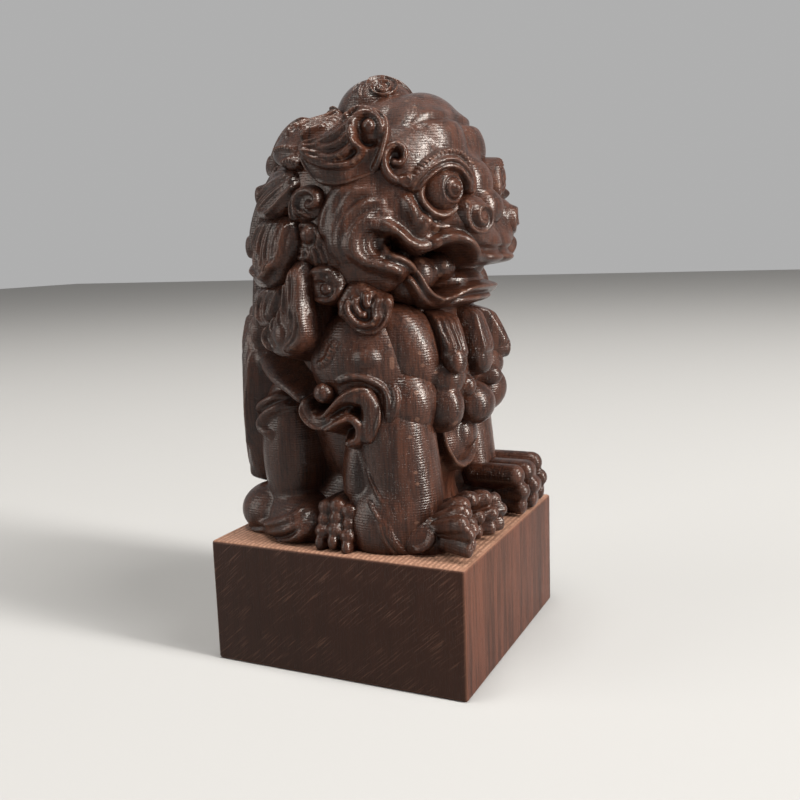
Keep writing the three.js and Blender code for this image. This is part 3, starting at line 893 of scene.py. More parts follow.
@dataclass(frozen=True)
class CarvedWood:
    """Waxed dark hardwood with fine lines that the rotary cutter left, worn on its crests, and with painted
    shade that darkens its creases.
    """

    effects: WoodEffects
    dark: Triple = (0.014, 0.0045, 0.0025)
    light: Triple = (0.060, 0.0215, 0.0120)
    contrast: float = 1.0
    worn: Triple = (0.15, 0.078, 0.053)
    crest_span: Spot = (0.525, 0.61)
    crest_share: float = 0.5
    # Painted shade in the creases: the pointiness below which the colour darkens, and how far it darkens.
    crease_shade_span: Spot = (0.495, 0.44)
    crease_shade_share: float = 0.75
    patch_stretch: Triple = (0.12, 0.12, 0.12)
    patch_span: Spot = (0.35, 0.65)
    smooth: float = 0.28
    rough: float = 0.46
    shine: float = 0.15
    coat: float = 0.38
    coat_roughness: float = 0.19
    line_pitch: float = 0.44
    line_wander: float = 0.6
    line_depth: float = 0.03
    pore_depth: float = 0.04

    def build(self) -> bpy.types.Material:
        """Builds the material.

        Returns:
            The material.
        """
        material = bpy.data.materials.new("carved_wood")
        material.use_nodes = True
        wiring = Wiring(material.node_tree)
        shader = material.node_tree.nodes["Principled BSDF"].inputs
        place = wiring.add("TexCoord").outputs["Object"]
        height = wiring.add("SeparateXYZ", Vector=place).outputs["Z"]
        grain = self.effects.grain(wiring, place, self.dark, self.light, self.contrast)
        lines = self.effects.cutter(wiring, place, height, self.line_pitch, self.line_wander)
        edge = wiring.add("NewGeometry").outputs["Pointiness"]
        crest = wiring.math("MULTIPLY", wiring.span(edge, *self.crest_span), self.crest_share)
        # Painted shade: creases and hollows are mixed towards the wood's dark tone.
        crease_shade = wiring.math("MULTIPLY", wiring.span(edge, *self.crease_shade_span), self.crease_shade_share)
        colour = wiring.mix(crest, grain["Color"], opaque(self.worn))
        wiring.feed(shader["Base Color"], wiring.mix(crease_shade, colour, opaque(self.dark)))
        patches = wiring.noise(place, self.patch_stretch, 3.0)
        wiring.feed(shader["Roughness"], wiring.span(patches, *self.patch_span, self.smooth, self.rough))
        wiring.feed(shader["Coat Weight"], self.coat)
        wiring.feed(shader["Coat Roughness"], self.coat_roughness)
        wiring.feed(shader["Specular IOR Level"], self.shine)
        normal = self.effects.emboss(wiring, lines, self.line_depth, grain["Pores"], self.pore_depth)
        wiring.feed(shader["Normal"], normal)
        wiring.feed(shader["Coat Normal"], normal)
        return material


@dataclass(frozen=True)
class BlockWood:
    """The block's faces: upright grain in front and behind, sawn sides coloured darker partly as painted
    shade, and milled lines on a top coloured lighter partly as painted light.
    """

    effects: WoodEffects
    dark: Triple = (0.016, 0.0053, 0.0037)
    light: Triple = (0.068, 0.0235, 0.0148)
    contrast: float = 1.5
    # The sawn sides' colours: darker than the front's, partly as painted shade, since the front light
    # hardly reaches them.
    shaded_side_dark: Triple = (0.007, 0.0023, 0.0017)
    shaded_side_light: Triple = (0.018, 0.0060, 0.0042)
    side_contrast: float = 0.7
    facing_span: Spot = (0.5, 0.9)
    worn: Triple = (0.22, 0.11, 0.075)
    edge_span: Spot = (0.52, 0.6)
    edge_share: float = 0.6
    saw_stretch: Triple = (2.4, 0.16, 0.5)
    saw_slope: float = 0.9
    saw_span: Spot = (0.50, 0.72)
    saw_share: float = 0.25
    patch_stretch: Triple = (0.16, 0.16, 0.16)
    patch_span: Spot = (0.35, 0.60)
    # The top's pale colour: partly the bare milled wood, partly painted light where the front light falls
    # on the top.
    lit_milled_top: Triple = (0.40, 0.24, 0.17)
    top_painted_light_share: float = 0.38
    milled_swing: float = 0.5
    line_pitch: float = 0.9
    line_wander: float = 0.3
    line_depth: float = 0.04
    pore_depth: float = 0.03
    roughness: float = 0.5
    shine: float = 0.15

    def build(self) -> bpy.types.Material:
        """Builds the material.

        Returns:
            The material.
        """
        material = bpy.data.materials.new("block_wood")
        material.use_nodes = True
        wiring = Wiring(material.node_tree)
        shader = material.node_tree.nodes["Principled BSDF"].inputs
        coordinates = wiring.add("TexCoord").outputs
        place = coordinates["Object"]
        parts = wiring.add("SeparateXYZ", Vector=place).outputs
        facing = wiring.add("SeparateXYZ", Vector=coordinates["Normal"]).outputs
        on_top = wiring.span(facing["Z"], *self.facing_span)
        on_side = wiring.span(wiring.math("ABSOLUTE", facing["X"]), *self.facing_span)
        front = self.effects.grain(wiring, place, self.dark, self.light, self.contrast)
        side = self.effects.grain(wiring, place, self.shaded_side_dark, self.shaded_side_light, self.side_contrast)
        saw = wiring.math("MULTIPLY", self.saw_marks(wiring, place, parts), on_side)
        lines = self.effects.cutter(wiring, place, parts["Y"], self.line_pitch, self.line_wander)
        # Painted light: the whole top is mixed towards the pale colour, and more so along the milled lines.
        painted_light_and_lines = wiring.math("ADD", wiring.math("MULTIPLY", lines, self.milled_swing), self.top_painted_light_share)
        edge = wiring.span(wiring.add("NewGeometry").outputs["Pointiness"], *self.edge_span)
        # The sides take the darker copy of the grain, which is partly painted shade.
        colour = wiring.mix(on_side, front["Color"], side["Color"])
        for share, other in ((wiring.math("MULTIPLY", saw, self.saw_share), self.worn),
                             (wiring.math("MULTIPLY", painted_light_and_lines, on_top), self.lit_milled_top),
                             (wiring.math("MULTIPLY", edge, self.edge_share), self.worn)):
            colour = wiring.mix(share, colour, opaque(other))
        wiring.feed(shader["Base Color"], colour)
        wiring.feed(shader["Roughness"], self.roughness)
        wiring.feed(shader["Specular IOR Level"], self.shine)
        cut = wiring.math("ADD", saw, wiring.math("MULTIPLY", lines, on_top))
        normal = self.effects.emboss(wiring, cut, self.line_depth, front["Pores"], self.pore_depth)
        wiring.feed(shader["Normal"], normal)
        return material

    def saw_marks(self, wiring: Wiring, place: object, parts: bpy.types.bpy_prop_collection) -> object:
        """Makes the saw's slanting streaks, which come and go in patches.

        Args:
            wiring: The material's wiring.
            place: The coordinates.
            parts: The coordinates' parts.

        Returns:
            The streaks' mask.
        """
        across = wiring.math("ADD", parts["Z"], wiring.math("MULTIPLY", parts["Y"], self.saw_slope))
        along = wiring.math("SUBTRACT", parts["Y"], wiring.math("MULTIPLY", parts["Z"], self.saw_slope))
        slanted = wiring.add("CombineXYZ", X=across, Y=along).outputs["Vector"]
        streaks = wiring.span(wiring.noise(slanted, self.saw_stretch, 3.0), *self.saw_span)
        patches = wiring.span(wiring.noise(place, self.patch_stretch, 2.0), *self.patch_span)
        return wiring.math("MULTIPLY", streaks, patches)


def settle(piece: bpy.types.Object, nodes: Sequence[str], finish: bpy.types.Material) -> None:
    """Puts a finished piece into the part.

    Args:
        piece: The piece.
        nodes: The solids that it stands for.
        finish: Its material.
    """
    piece.data.materials.append(finish)
    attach(piece, BODY)
    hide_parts(*nodes)
    LOG.info("%s: %d faces", piece.name, len(piece.data.polygons))


@dataclass
class Form:
    """A form of the carving, which knows its finish and how to make its pieces."""

    finish: bpy.types.Material

    def single(self, name: str, relief: Relief, seat: Triple | None = None) -> None:
        """Makes a piece that lies across the middle of the lion."""
        piece = carve(relief, f"carved_{name}", seat)
        settle(piece, [name], self.finish)

    def one(self, side: Side, name: str, relief: Relief, seat: Triple) -> None:
        """Makes a piece on one side, mirrored where that is the left one."""
        node = f"{side.value}_{name}"
        piece = carve(relief, f"carved_{node}", seat, side is Side.LEFT)
        settle(piece, [node], self.finish)

    def pair(self, name: str, relief: Relief, seat: Triple) -> None:
        """Makes a piece on the right side and its mirror image on the left."""
        for side in Side:
            self.one(side, name, relief, seat)


# The open mouth's rim above and its sill below, in angles and heights: the rim runs from the corner of the
# mouth to the front, and the sill back again.
MOUTH_RIM = SIGHT.trace(
    ((395, 236), (403, 243), (412, 249), (424, 253), (436, 250), (444, 245), (452, 244), (460, 247),
     (466, 254), (471, 262), (476, 268)),
    22.6)
MOUTH_SILL = SIGHT.trace(
    ((455, 296), (446, 296), (438, 292), (431, 284), (425, 274), (419, 266), (411, 260), (401, 255),
     (392, 252)),
    22.0)
MOUTH_OUTLINE: Route = (
    *MOUTH_RIM, (12, 71.2), (0, 71.0), (-8, 71.0), (-8, 68.9), (0, 68.9), (10, 68.8), *MOUTH_SILL,
    (63, 76.8))


@dataclass
class Head(Form):
    """The skull, the domes over the eyes, the cheeks and the folds behind the mouth."""

    upper_roll: Route = (
        (444, 240), (434, 245), (424, 248), (414, 246), (406, 242), (398, 235), (390, 229), (381, 225),
        (371, 224), (363, 228), (357, 236), (356, 246), (359, 256), (366, 262), (377, 265), (388, 268),
        (399, 272), (409, 276))
    lower_fold: Route = ((388, 254), (398, 257), (408, 261), (416, 267), (421, 275), (425, 284))
    corner_ring: Route = (
        (378, 231), (371, 236), (368, 245), (372, 253), (379, 256), (385, 251), (386, 242), (384, 234))
    cheek_arcs: Routes = (
        ((392, 215), (377, 213), (364, 217), (355, 225), (350, 237), (350, 250), (356, 262)),
        ((386, 203), (370, 203), (356, 209), (347, 220), (343, 234), (344, 249), (351, 264)),
        ((374, 190), (358, 191), (347, 199), (340, 213), (336, 231), (337, 249), (343, 265)),
        ((356, 186), (342, 191), (334, 203), (330, 220), (329, 240), (333, 258)),
        ((343, 186), (332, 192), (325, 204), (321, 220), (321, 238)))
    lid: Route = (
        (421, 197), (424, 186), (430, 177), (440, 170), (451, 168), (460, 173), (464, 183), (462, 196),
        (457, 207), (448, 214), (438, 215), (428, 209))
    lid_fold: Route = ((416, 194), (419, 206), (427, 215), (437, 221), (448, 221), (458, 215))
    dome_crease: Route = ((460, 119), (450, 116), (437, 116), (424, 119), (413, 126))
    cheek_folds: Routes = (
        ((406, 194), (410, 206), (414, 217), (417, 228)), ((428, 214), (425, 224), (421, 232), (419, 238)))
    fold_drop: float = 5
    eye_socket: Spot = (445, 191)
    corner_hollow: Spot = (380, 244)
    corner_bead: Spot = (391, 245)
    skull: Ball = Ball((180, 83), 0.5, 20.8, 20.4, 15.5, 0)
    crown: Ball = Ball((0, 93.0), 5.0, 13.0, 9.0, 9.2, 3)
    forehead: Ball = Ball((0, 93.3), 9.2, 12.0, 7.5, 9.0, 1)
    brow: Ball = Ball((27, 92.2), 12.2, 8.6, 7.8, 7.2, 1.2)
    temple: Ball = Ball((60, 87), 16.4, 9, 5, 8, 3)
    back_cheek: Ball = Ball((72, 76), 16.6, 10, 5.8, 9.5, 3)
    front_cheek: Ball = Ball((38, 80), 16.4, 10, 6, 7, 3)
    nose_root: Ball = Ball((0, 85), 14.0, 7, 7, 8, 2)

    def build(self) -> None:
        """Carves the head."""
        relief = Relief(AXIS, (-180, 180), (60, AXIS.top), floor=13.0, pitch=0.34)
        relief.build_up(self.skull, self.crown, self.forehead, self.brow, self.temple, self.back_cheek,
                        self.front_cheek, self.nose_root)
        relief.dome(SIGHT.spot(self.eye_socket, 22.0), 4.8, 4.6, -1.4)
        relief.soften(4)
        self.cut_folds(relief)
        relief.hollow(MOUTH_OUTLINE, 15.5, 0.25, 6.0)
        relief.soften()
        self.single("head", relief)

    def cut_folds(self, relief: Relief) -> None:
        """Adds the rims round the eye and the rolls and folds behind the mouth.

        Args:
            relief: The head's surface.
        """
        relief.ridge(SIGHT.trace(self.lid, 22.5), 0.8, 1.2, closed=True)
        relief.ridge(SIGHT.trace(self.lid_fold), 0.6, -0.9, fade=0.2)
        lower_lid = [(across, down + self.fold_drop) for across, down in self.lid_fold]
        relief.ridge(SIGHT.trace(lower_lid), 0.5, 0.7, fade=0.2)
        relief.ridge(relief.trace(self.dome_crease), 1.3, -1.1, fade=0.3)
        for route, width, height in zip(self.cheek_folds, (1.2, 1.1), (1.7, 1.6)):
            relief.ridge(SIGHT.trace(route), width, height, fade=0.4)
        for route, height in zip(self.cheek_arcs, (1.0, 1.1, 1.0, 0.9, 0.9)):
            relief.ridge(SIGHT.trace(route), 0.95, height, fade=0.2)
        relief.ridge(SIGHT.trace(self.upper_roll), 1.35, 1.7, fade=0.05)
        relief.ridge(SIGHT.trace(self.lower_fold), 0.8, 1.3, fade=0.1)
        relief.dome(SIGHT.spot(self.corner_hollow, 22.0), 3.4, 3.4, -1.2)
        relief.ridge(SIGHT.trace(self.corner_ring), 0.7, 0.8, closed=True)
        relief.bead(SIGHT.spot(self.corner_bead, 22.0), 0.8, 0.8)


@dataclass
class Muzzle(Form):
    """The upper jaw: the pads under the nose and the rolled upper lip."""

    roll: Route = ((430, 247), (438, 244), (446, 240), (454, 239), (462, 242), (469, 249), (474, 257))
    roll_front: Route = ((19, 72.8), (10, 72.4), (0, 72.4), (-6, 72.4))
    groove_rise: float = 2.0
    pad: Ball = Ball((20, 77.4), 16.6, 8.0, 8.2, 6.8, 0)
    middle: Ball = Ball((0, 77), 14.6, 9.0, 8.6, 6.0, 1)
    side: Ball = Ball((40, 77), 15.4, 7.0, 7.0, 5.4, 1.5)
    lip: Ball = Ball((8, 75.2), 20.4, 4.6, 4.3, 3.8, 0.8)

    def build(self) -> None:
        """Carves the muzzle."""
        relief = Relief(AXIS, (-58, 58), (69, 86), floor=12.0, pitch=0.24)
        relief.build_up(self.pad, self.middle, self.side, self.lip)
        relief.soften(4)
        roll = [*SIGHT.trace(self.roll, 23.2), *self.roll_front]
        relief.ridge(roll, 1.25, 1.5, fade=0.08)
        relief.ridge([(angle, height + self.groove_rise) for angle, height in roll], 0.9, -0.8, fade=0.1)
        relief.hollow(MOUTH_OUTLINE, 14.0, 0.25, 6.0)
        relief.soften()
        self.single("muzzle", relief, (0.0, -6.0, 77.0))


@dataclass
class LowerJaw(Form):
    """The lower jaw, with two rolled lips and the chin."""

    inner_roll: Route = ((410, 263), (417, 269), (422, 277), (427, 287), (434, 295), (443, 299), (454, 300))
    inner_front: Route = ((20, 67.6), (10, 67.8), (0, 67.8), (-6, 67.8))
    outer_roll: Route = ((407, 276), (413, 283), (419, 293), (427, 302), (437, 307), (449, 309))
    outer_front: Route = ((20, 65.4), (10, 65.6), (0, 65.6), (-6, 65.6))
    gum: Route = ((30, 69.3), (15, 69.8), (0, 69.8), (-6, 69.8))
    jaw: Ball = Ball((0, 68.4), 9.6, 15.4, 10.8, 5.4, 0)
    corner: Ball = Ball((38, 69.5), 13.4, 8.0, 7.2, 5.4, 1.5)

    def build(self) -> None:
        """Carves the jaw."""
        relief = Relief(AXIS, (-62, 62), (60, 77), floor=11.0, pitch=0.24)
        relief.build_up(self.jaw, self.corner)
        relief.soften(4)
        relief.ridge([*SIGHT.trace(self.inner_roll, 21.8), *self.inner_front], 0.9, 1.4, fade=0.03)
        relief.ridge([*SIGHT.trace(self.outer_roll, 21.4), *self.outer_front], 0.9, 1.5, fade=0.03)
        relief.ridge(self.gum, 0.6, 0.8, fade=0.1)
        relief.hollow(MOUTH_OUTLINE, 13.0, 0.2, 6.0)
        relief.soften()
        self.single("lower_jaw", relief, (0.0, -4.0, 68.0))


@dataclass
class Tongue(Form):
    """The tongue that arches up in the open mouth."""

    bed: Ball = Ball((0, 69.0), 11.0, 9.2, 8.6, 3.0, 0)
    arch: Ball = Ball((27, 71.8), 16.2, 3.2, 3.2, 2.8, 0.5)
    back: Ball = Ball((42, 70.6), 16.4, 3.6, 3, 3.2, 0.8)

    def build(self) -> None:
        """Carves the tongue."""
        relief = Relief(AXIS, (-50, 50), (66, 76), floor=10.0, pitch=0.3)
        relief.build_up(self.bed, self.arch, self.back)
        relief.soften()
        self.single("tongue", relief, (0.0, -4.0, 70.0))


@dataclass
class Nose(Form):
    """A broad nose whose wings roll up in scrolls."""

    bridge: Ball = Ball((0, 85.6), 18.0, 5.2, 4.0, 5.0, 0)
    wing: Ball = Ball((20, 79.8), 20.9, 4.4, 4.2, 4.2, 0.5)
    tip: Ball = Ball((0, 81.6), 20.4, 4.2, 3.6, 3.6, 0.3)

    def build(self) -> None:
        """Carves the nose."""
        relief = Relief(AXIS, (-40, 40), (73.5, 93), floor=12.0, pitch=0.2)
        relief.build_up(self.bridge, self.wing, self.tip)
        relief.soften(2)
        roll = scroll(self.wing.spot, outer=3.3, inner=0.7, turns=-1.6, start=50, wide=AXIS.degree)
        relief.ridge(roll, 0.62, 1.0, fade=0.08)
        relief.soften()
        self.single("nose", relief, (0.0, -10.0, 81.0))


@dataclass
class Eye(Form):
    """A round eye with a ringed iris, cut into the ball."""

    middle: Spot = (447, 189)
    reach: float = 19.9
    size: Triple = (4.2, 4.1, 4.0)
    iris_shift: Spot = (-0.9, 0.1)
    iris_radius: float = 1.9
    pupil_radius: float = 1.2

    def build(self) -> None:
        """Carves the eyes."""
        relief = Relief(AXIS, (18, 50), (77.5, 91), floor=14.0, pitch=0.16)
        spot = SIGHT.spot(self.middle, 22.5)
        relief.add_ball(Ball(spot, self.reach, *self.size, 0))
        iris = (spot[0] + self.iris_shift[0] * AXIS.degree, spot[1] + self.iris_shift[1])
        ring = scroll(iris, self.iris_radius, self.iris_radius, turns=1.0, start=180, wide=AXIS.degree)
        relief.ridge(ring, 0.4, -0.55, fade=0.02)
        relief.dome(iris, self.pupil_radius, self.pupil_radius, 0.9)
        self.pair("eye", relief, (-8.0, -10.0, 84.0))


@dataclass
class Eyebrow(Form):
    """Notched folds over the eye, the upper one ending in a scroll at the temple."""

    outline: Route = (
        (398, 184), (408, 180), (416, 170), (426, 159), (437, 152), (448, 147), (460, 148), (469, 155),
        (475, 166), (479, 180), (477, 194), (467, 193), (464, 186), (458, 179), (451, 175), (443, 174),
        (435, 178), (428, 186), (424, 195), (412, 193))
    arcs: Routes = (
        ((405, 181), (412, 174), (420, 165), (428, 158), (437, 152), (448, 150), (458, 151), (466, 158),
         (472, 168)),
        ((410, 187), (419, 177), (428, 168), (438, 162), (448, 159), (457, 161), (464, 167), (469, 175),
         (472, 184)),
        ((416, 191), (423, 182), (431, 174), (440, 168), (449, 166), (457, 168), (463, 174), (468, 183),
         (470, 190)))
    end: Route = (
        (408, 178), (398, 180), (390, 175), (385, 166), (384, 155), (389, 146), (397, 143), (404, 147),
        (406, 156), (401, 163), (395, 162))

    front_bead: Spot = (9, 89.6)

    def build(self) -> None:
        """Carves the eyebrows."""
        relief = Relief(AXIS, (4, 68), (80, 96), floor=10.0, pitch=0.16)
        relief.plate(SIGHT.trace(self.outline, 22.6), 21.4, 1.3, 1.0, blend=0)
        relief.plate(SIGHT.trace(self.end[2:9], 22.0), 20.6, 0.6, 0.8)
        relief.band(SIGHT.trace(self.end, 22.8), 1.25, 21.2, 1.6, root=0.8, tip=0.6, blend=0.2)
        relief.soften()
        relief.ridge(relief.trace(self.arcs[0]), 0.62, 0.75, notch=0.75, notch_pitch=0.8)
        for arc in self.arcs[1:]:
            relief.ridge(relief.trace(arc), 0.55, 0.9)
        relief.bead(self.front_bead, 1.8, 0.6)
        relief.soften()
        self.pair("eyebrow", relief, (-8.0, -10.0, 87.0))


@dataclass
class Ear(Form):
    """A leaf-shaped ear with a thick rim, a scroll at its root and hair sweeping across the bowl."""

    leaf: Route = (
        (343, 114), (349, 109), (357, 105), (368, 105), (379, 109), (387, 115), (391, 124), (391, 136),
        (388, 149), (385, 160), (379, 175), (367, 180), (354, 184), (342, 187), (328, 187), (316, 184),
        (306, 175), (299, 164), (296, 150), (303, 142), (316, 136), (330, 127), (339, 119))
    rim: Route = (
        (341, 118), (347, 112), (356, 108), (367, 108), (377, 112), (384, 118), (388, 126), (388, 136),
        (385, 148), (381, 160), (375, 172))
    hood: Route = (
        (379, 135), (380, 126), (376, 119), (367, 114), (359, 116), (354, 121), (353, 129), (354, 138),
        (358, 146), (362, 151), (357, 159), (347, 165), (334, 166), (321, 164), (310, 158), (302, 151))
    strands: Routes = (
        ((347, 113), (342, 120), (333, 127), (321, 133), (310, 139), (301, 146)),
        ((351, 119), (345, 128), (336, 135), (324, 141), (312, 145), (302, 148)),
        ((352, 129), (346, 138), (337, 145), (325, 149), (313, 150), (303, 150)),
        ((354, 139), (350, 148), (340, 155), (328, 158), (315, 156), (304, 151)))
    lower_rim: Route = (
        (298, 152), (301, 164), (308, 174), (318, 182), (329, 185), (343, 185), (354, 181), (366, 176),
        (376, 172))
    shade: Route = ((357, 135), (362, 141), (370, 143), (378, 140))
    pearl: Spot = (369, 127)
    bowl: Spot = (361, 165)

    def build(self) -> None:
        """Carves the ears."""
        relief = Relief(AXIS, (52, 112), (80, 101), floor=10.0, pitch=0.18)
        relief.plate(SIGHT.trace(self.leaf, 22.0), 19.6, 2.5, 2.0, blend=0)
        relief.dome(relief.trace([self.bowl])[0], 3.4, 3.4, -1.0, turn=-30)
        relief.soften(2)
        relief.ridge(relief.trace(self.shade), 1.1, -1.6, fade=0.3)
        relief.ridge(relief.trace(self.rim), 0.95, 1.5, fade=0.1)
        relief.ridge(relief.trace(self.lower_rim), 0.55, 0.8, fade=0.1)
        strands = [relief.trace(strand) for strand in self.strands]
        for strand in (*strands, relief.trace(self.hood[8:])):
            relief.ridge(strand, 0.75, 1.1, fade=0.15)
        relief.hair(strands, 1)
        relief.ridge(relief.trace(self.hood[:10]), 0.85, 1.3, fade=0.1)
        relief.bead(relief.trace([self.pearl])[0], 1.25, 1.5)
        relief.soften()
        self.pair("ear", relief, (-10.0, 0.0, 88.0))


@dataclass
class CrownKnot(Form):
    """The topknot, with a flat scroll and combed hair."""

    knob: Ball = Ball((0, 98.4), 0.2, 7.8, 7.6, 7.3, 0)
    root: float = 7.0
    scroll_at: Spot = (382, 88)
    comb_first: Route = ((366, 81), (356, 87), (352, 97))
    comb_last: Route = ((363, 84), (360, 91), (360, 97))
    comb_count: int = 6

    def build(self) -> None:
        """Carves the topknot."""
        spine = Spine(back=-0.2, low=98.0, high=98.0, scale=9.0)
        relief = Relief(spine, (-180, 180), (spine.low - self.root, spine.top), floor=5.0, pitch=0.14)
        relief.add_ball(self.knob)
        first, last = np.array(self.comb_first), np.array(self.comb_last)
        for number in range(self.comb_count):
            strand = first + (last - first) * (number / (self.comb_count - 1))
            relief.ridge(relief.trace(strand.tolist()), 0.3, 0.3, fade=0.3)
        curl = scroll(self.scroll_at, outer=17.0, inner=2.5, turns=2.3, start=190, tall=0.62)
        relief.ridge(relief.trace(curl), 0.42, 0.65, fade=0.06)
        relief.soften()
        self.single("crown_knot", relief, (0.0, 1.2, 92.0))


@dataclass
class CheekCurls(Form):
    """Four curls that frame the cheek, from the ear down to the beard."""

    first_outline: Route = (
        (296, 186), (307, 184), (318, 188), (323, 198), (321, 210), (316, 220), (300, 224), (289, 222),
        (286, 208), (289, 195))
    first_roll: Route = (
        (301, 216), (296, 207), (297, 197), (303, 191), (311, 190), (317, 195), (317, 202), (311, 206),
        (306, 202))
    first_strand: Route = ((297, 187), (291, 197), (289, 210), (293, 223))
    first_fold: Route = ((300, 210), (306, 215), (314, 218))
    second_outline: Route = (
        (296, 222), (308, 221), (320, 226), (328, 238), (334, 254), (334, 266), (318, 270), (304, 266),
        (292, 258), (289, 240))
    second_rim: Route = ((298, 225), (309, 224), (317, 229), (320, 239), (316, 249))
    second_strands: Routes = (
        ((322, 232), (326, 244), (329, 255), (334, 266)), ((319, 246), (323, 256), (328, 267)),
        ((312, 247), (316, 258), (321, 269)), ((304, 247), (308, 258), (314, 268)),
        ((297, 247), (301, 257), (307, 266)))
    third_outline: Route = (
        (312, 266), (326, 262), (339, 268), (344, 280), (343, 292), (335, 302), (323, 305), (311, 299),
        (307, 284))
    third_roll: Route = (
        (336, 284), (332, 275), (322, 271), (312, 275), (309, 285), (314, 297), (325, 302), (337, 297),
        (341, 287))
    third_bar: Route = ((314, 280), (321, 278), (330, 281))
    fourth_outline: Route = (
        (334, 300), (341, 289), (349, 282), (360, 281), (372, 287), (383, 294), (392, 303), (391, 316),
        (385, 329), (373, 337), (354, 332), (341, 321), (335, 311))
    fourth_rolls: Routes = (
        ((350, 299), (348, 308), (353, 318), (362, 325), (371, 324), (377, 317)),
        ((357, 296), (356, 306), (361, 314), (368, 315)), ((367, 292), (366, 302), (370, 308)),
        ((381, 295), (376, 304), (375, 313), (378, 320)),
        ((341, 301), (341, 313), (348, 325), (360, 333), (373, 334), (384, 326), (389, 314), (388, 304)))
    ray: Route = ((302, 233), (296, 231), (290, 230))
    ray_step: float = 4.4
    ray_count: int = 8
    second_pearl: Spot = (309, 235)
    third_pearl: Spot = (326, 289)
    fourth_pearl: Spot = (387, 303)

    def build(self) -> None:
        """Carves the curls."""
        self.carve_first()
        self.carve_second()
        self.carve_third()
        self.carve_fourth()

    def start(self, outline: Route, rise: float) -> Relief:
        """Begins a curl as a cushion inside its outline.

        Args:
            outline: Its outline in pixels.
            rise: How far it stands over its edge.

        Returns:
            Its surface.
        """
        edge = SIGHT.trace(outline, 22.0)
        relief = Relief(AXIS, *around(edge), floor=14.0, pitch=0.17)
        relief.plate(edge, 20.2, rise, 2.0, blend=0)
        relief.soften()
        return relief

    def finish_curl(self, number: int, relief: Relief) -> None:
        """Makes a curl and its mirror image."""
        relief.soften()
        self.pair(f"cheek_curl_{number}", relief, (-12.0, 0.0, float(relief.height.mean())))

    def carve_first(self) -> None:
        """Carves the curl behind the ear's root."""
        relief = self.start(self.first_outline, 1.7)
        relief.ridge(relief.trace(self.first_strand), 0.6, 0.7)
        relief.ridge(relief.trace(self.first_roll), 0.75, 1.0, fade=0.08)
        relief.ridge(relief.trace(self.first_fold), 0.5, 0.6, fade=0.2)
        self.finish_curl(1, relief)

    def carve_second(self) -> None:
        """Carves the bright knob and the hair that fans out below it."""
        relief = self.start(self.second_outline, 1.5)
        for number in range(self.ray_count):
            ray = [(across, down + self.ray_step * number) for across, down in self.ray]
            relief.ridge(relief.trace(ray), 0.3, -0.4, fade=0.2)
        for strand in self.second_strands:
            relief.ridge(relief.trace(strand), 0.55, 0.6, fade=0.2)
        relief.ridge(relief.trace(self.second_rim), 0.7, 0.8, fade=0.2)
        relief.bead(relief.trace([self.second_pearl])[0], 1.5, 1.5, blend=0.4)
        self.finish_curl(2, relief)

    def carve_third(self) -> None:
        """Carves the round curl above the jaw's corner."""
        relief = self.start(self.third_outline, 1.9)
        relief.ridge(relief.trace(self.third_roll), 0.9, 1.1, fade=0.06)
        relief.ridge(relief.trace(self.third_bar), 0.6, 0.8, fade=0.2)
        relief.bead(relief.trace([self.third_pearl])[0], 1.0, 0.9)
        self.finish_curl(3, relief)

    def carve_fourth(self) -> None:
        """Carves the shell-shaped curl below the jaw's corner."""
        relief = self.start(self.fourth_outline, 2.0)
        for roll, height in zip(self.fourth_rolls, (1.3, 1.0, 0.8, 1.0, 0.9)):
            relief.ridge(relief.trace(roll), 0.75, height, fade=0.12)
        relief.bead(relief.trace([self.fourth_pearl])[0], 1.1, 0.8)
        self.finish_curl(4, relief)


@dataclass(frozen=True)
class LockSize:
    """A lock of the mane or the beard that isn't drawn from the photograph."""

    name: str
    route: Route
    width: float
    root: float = 0.75
    tip: float = 0.8
    strands: int = 5
    knot_wide: float = 1.5
    knot_tall: float = 2.2
    lean: float = 1.7


@dataclass(frozen=True)
class LockDrawing:
    """A lock that the photograph shows: its outline, its strands and the smooth oval in it, in pixels."""

    name: str
    outline: Route
    strands: Routes
    knot: Spot | None = None
    knot_wide: float = 1.4
    knot_tall: float = 1.8
    cords: Routes = ()
    seat_height: float = 70.0
    lean: float = 1.7


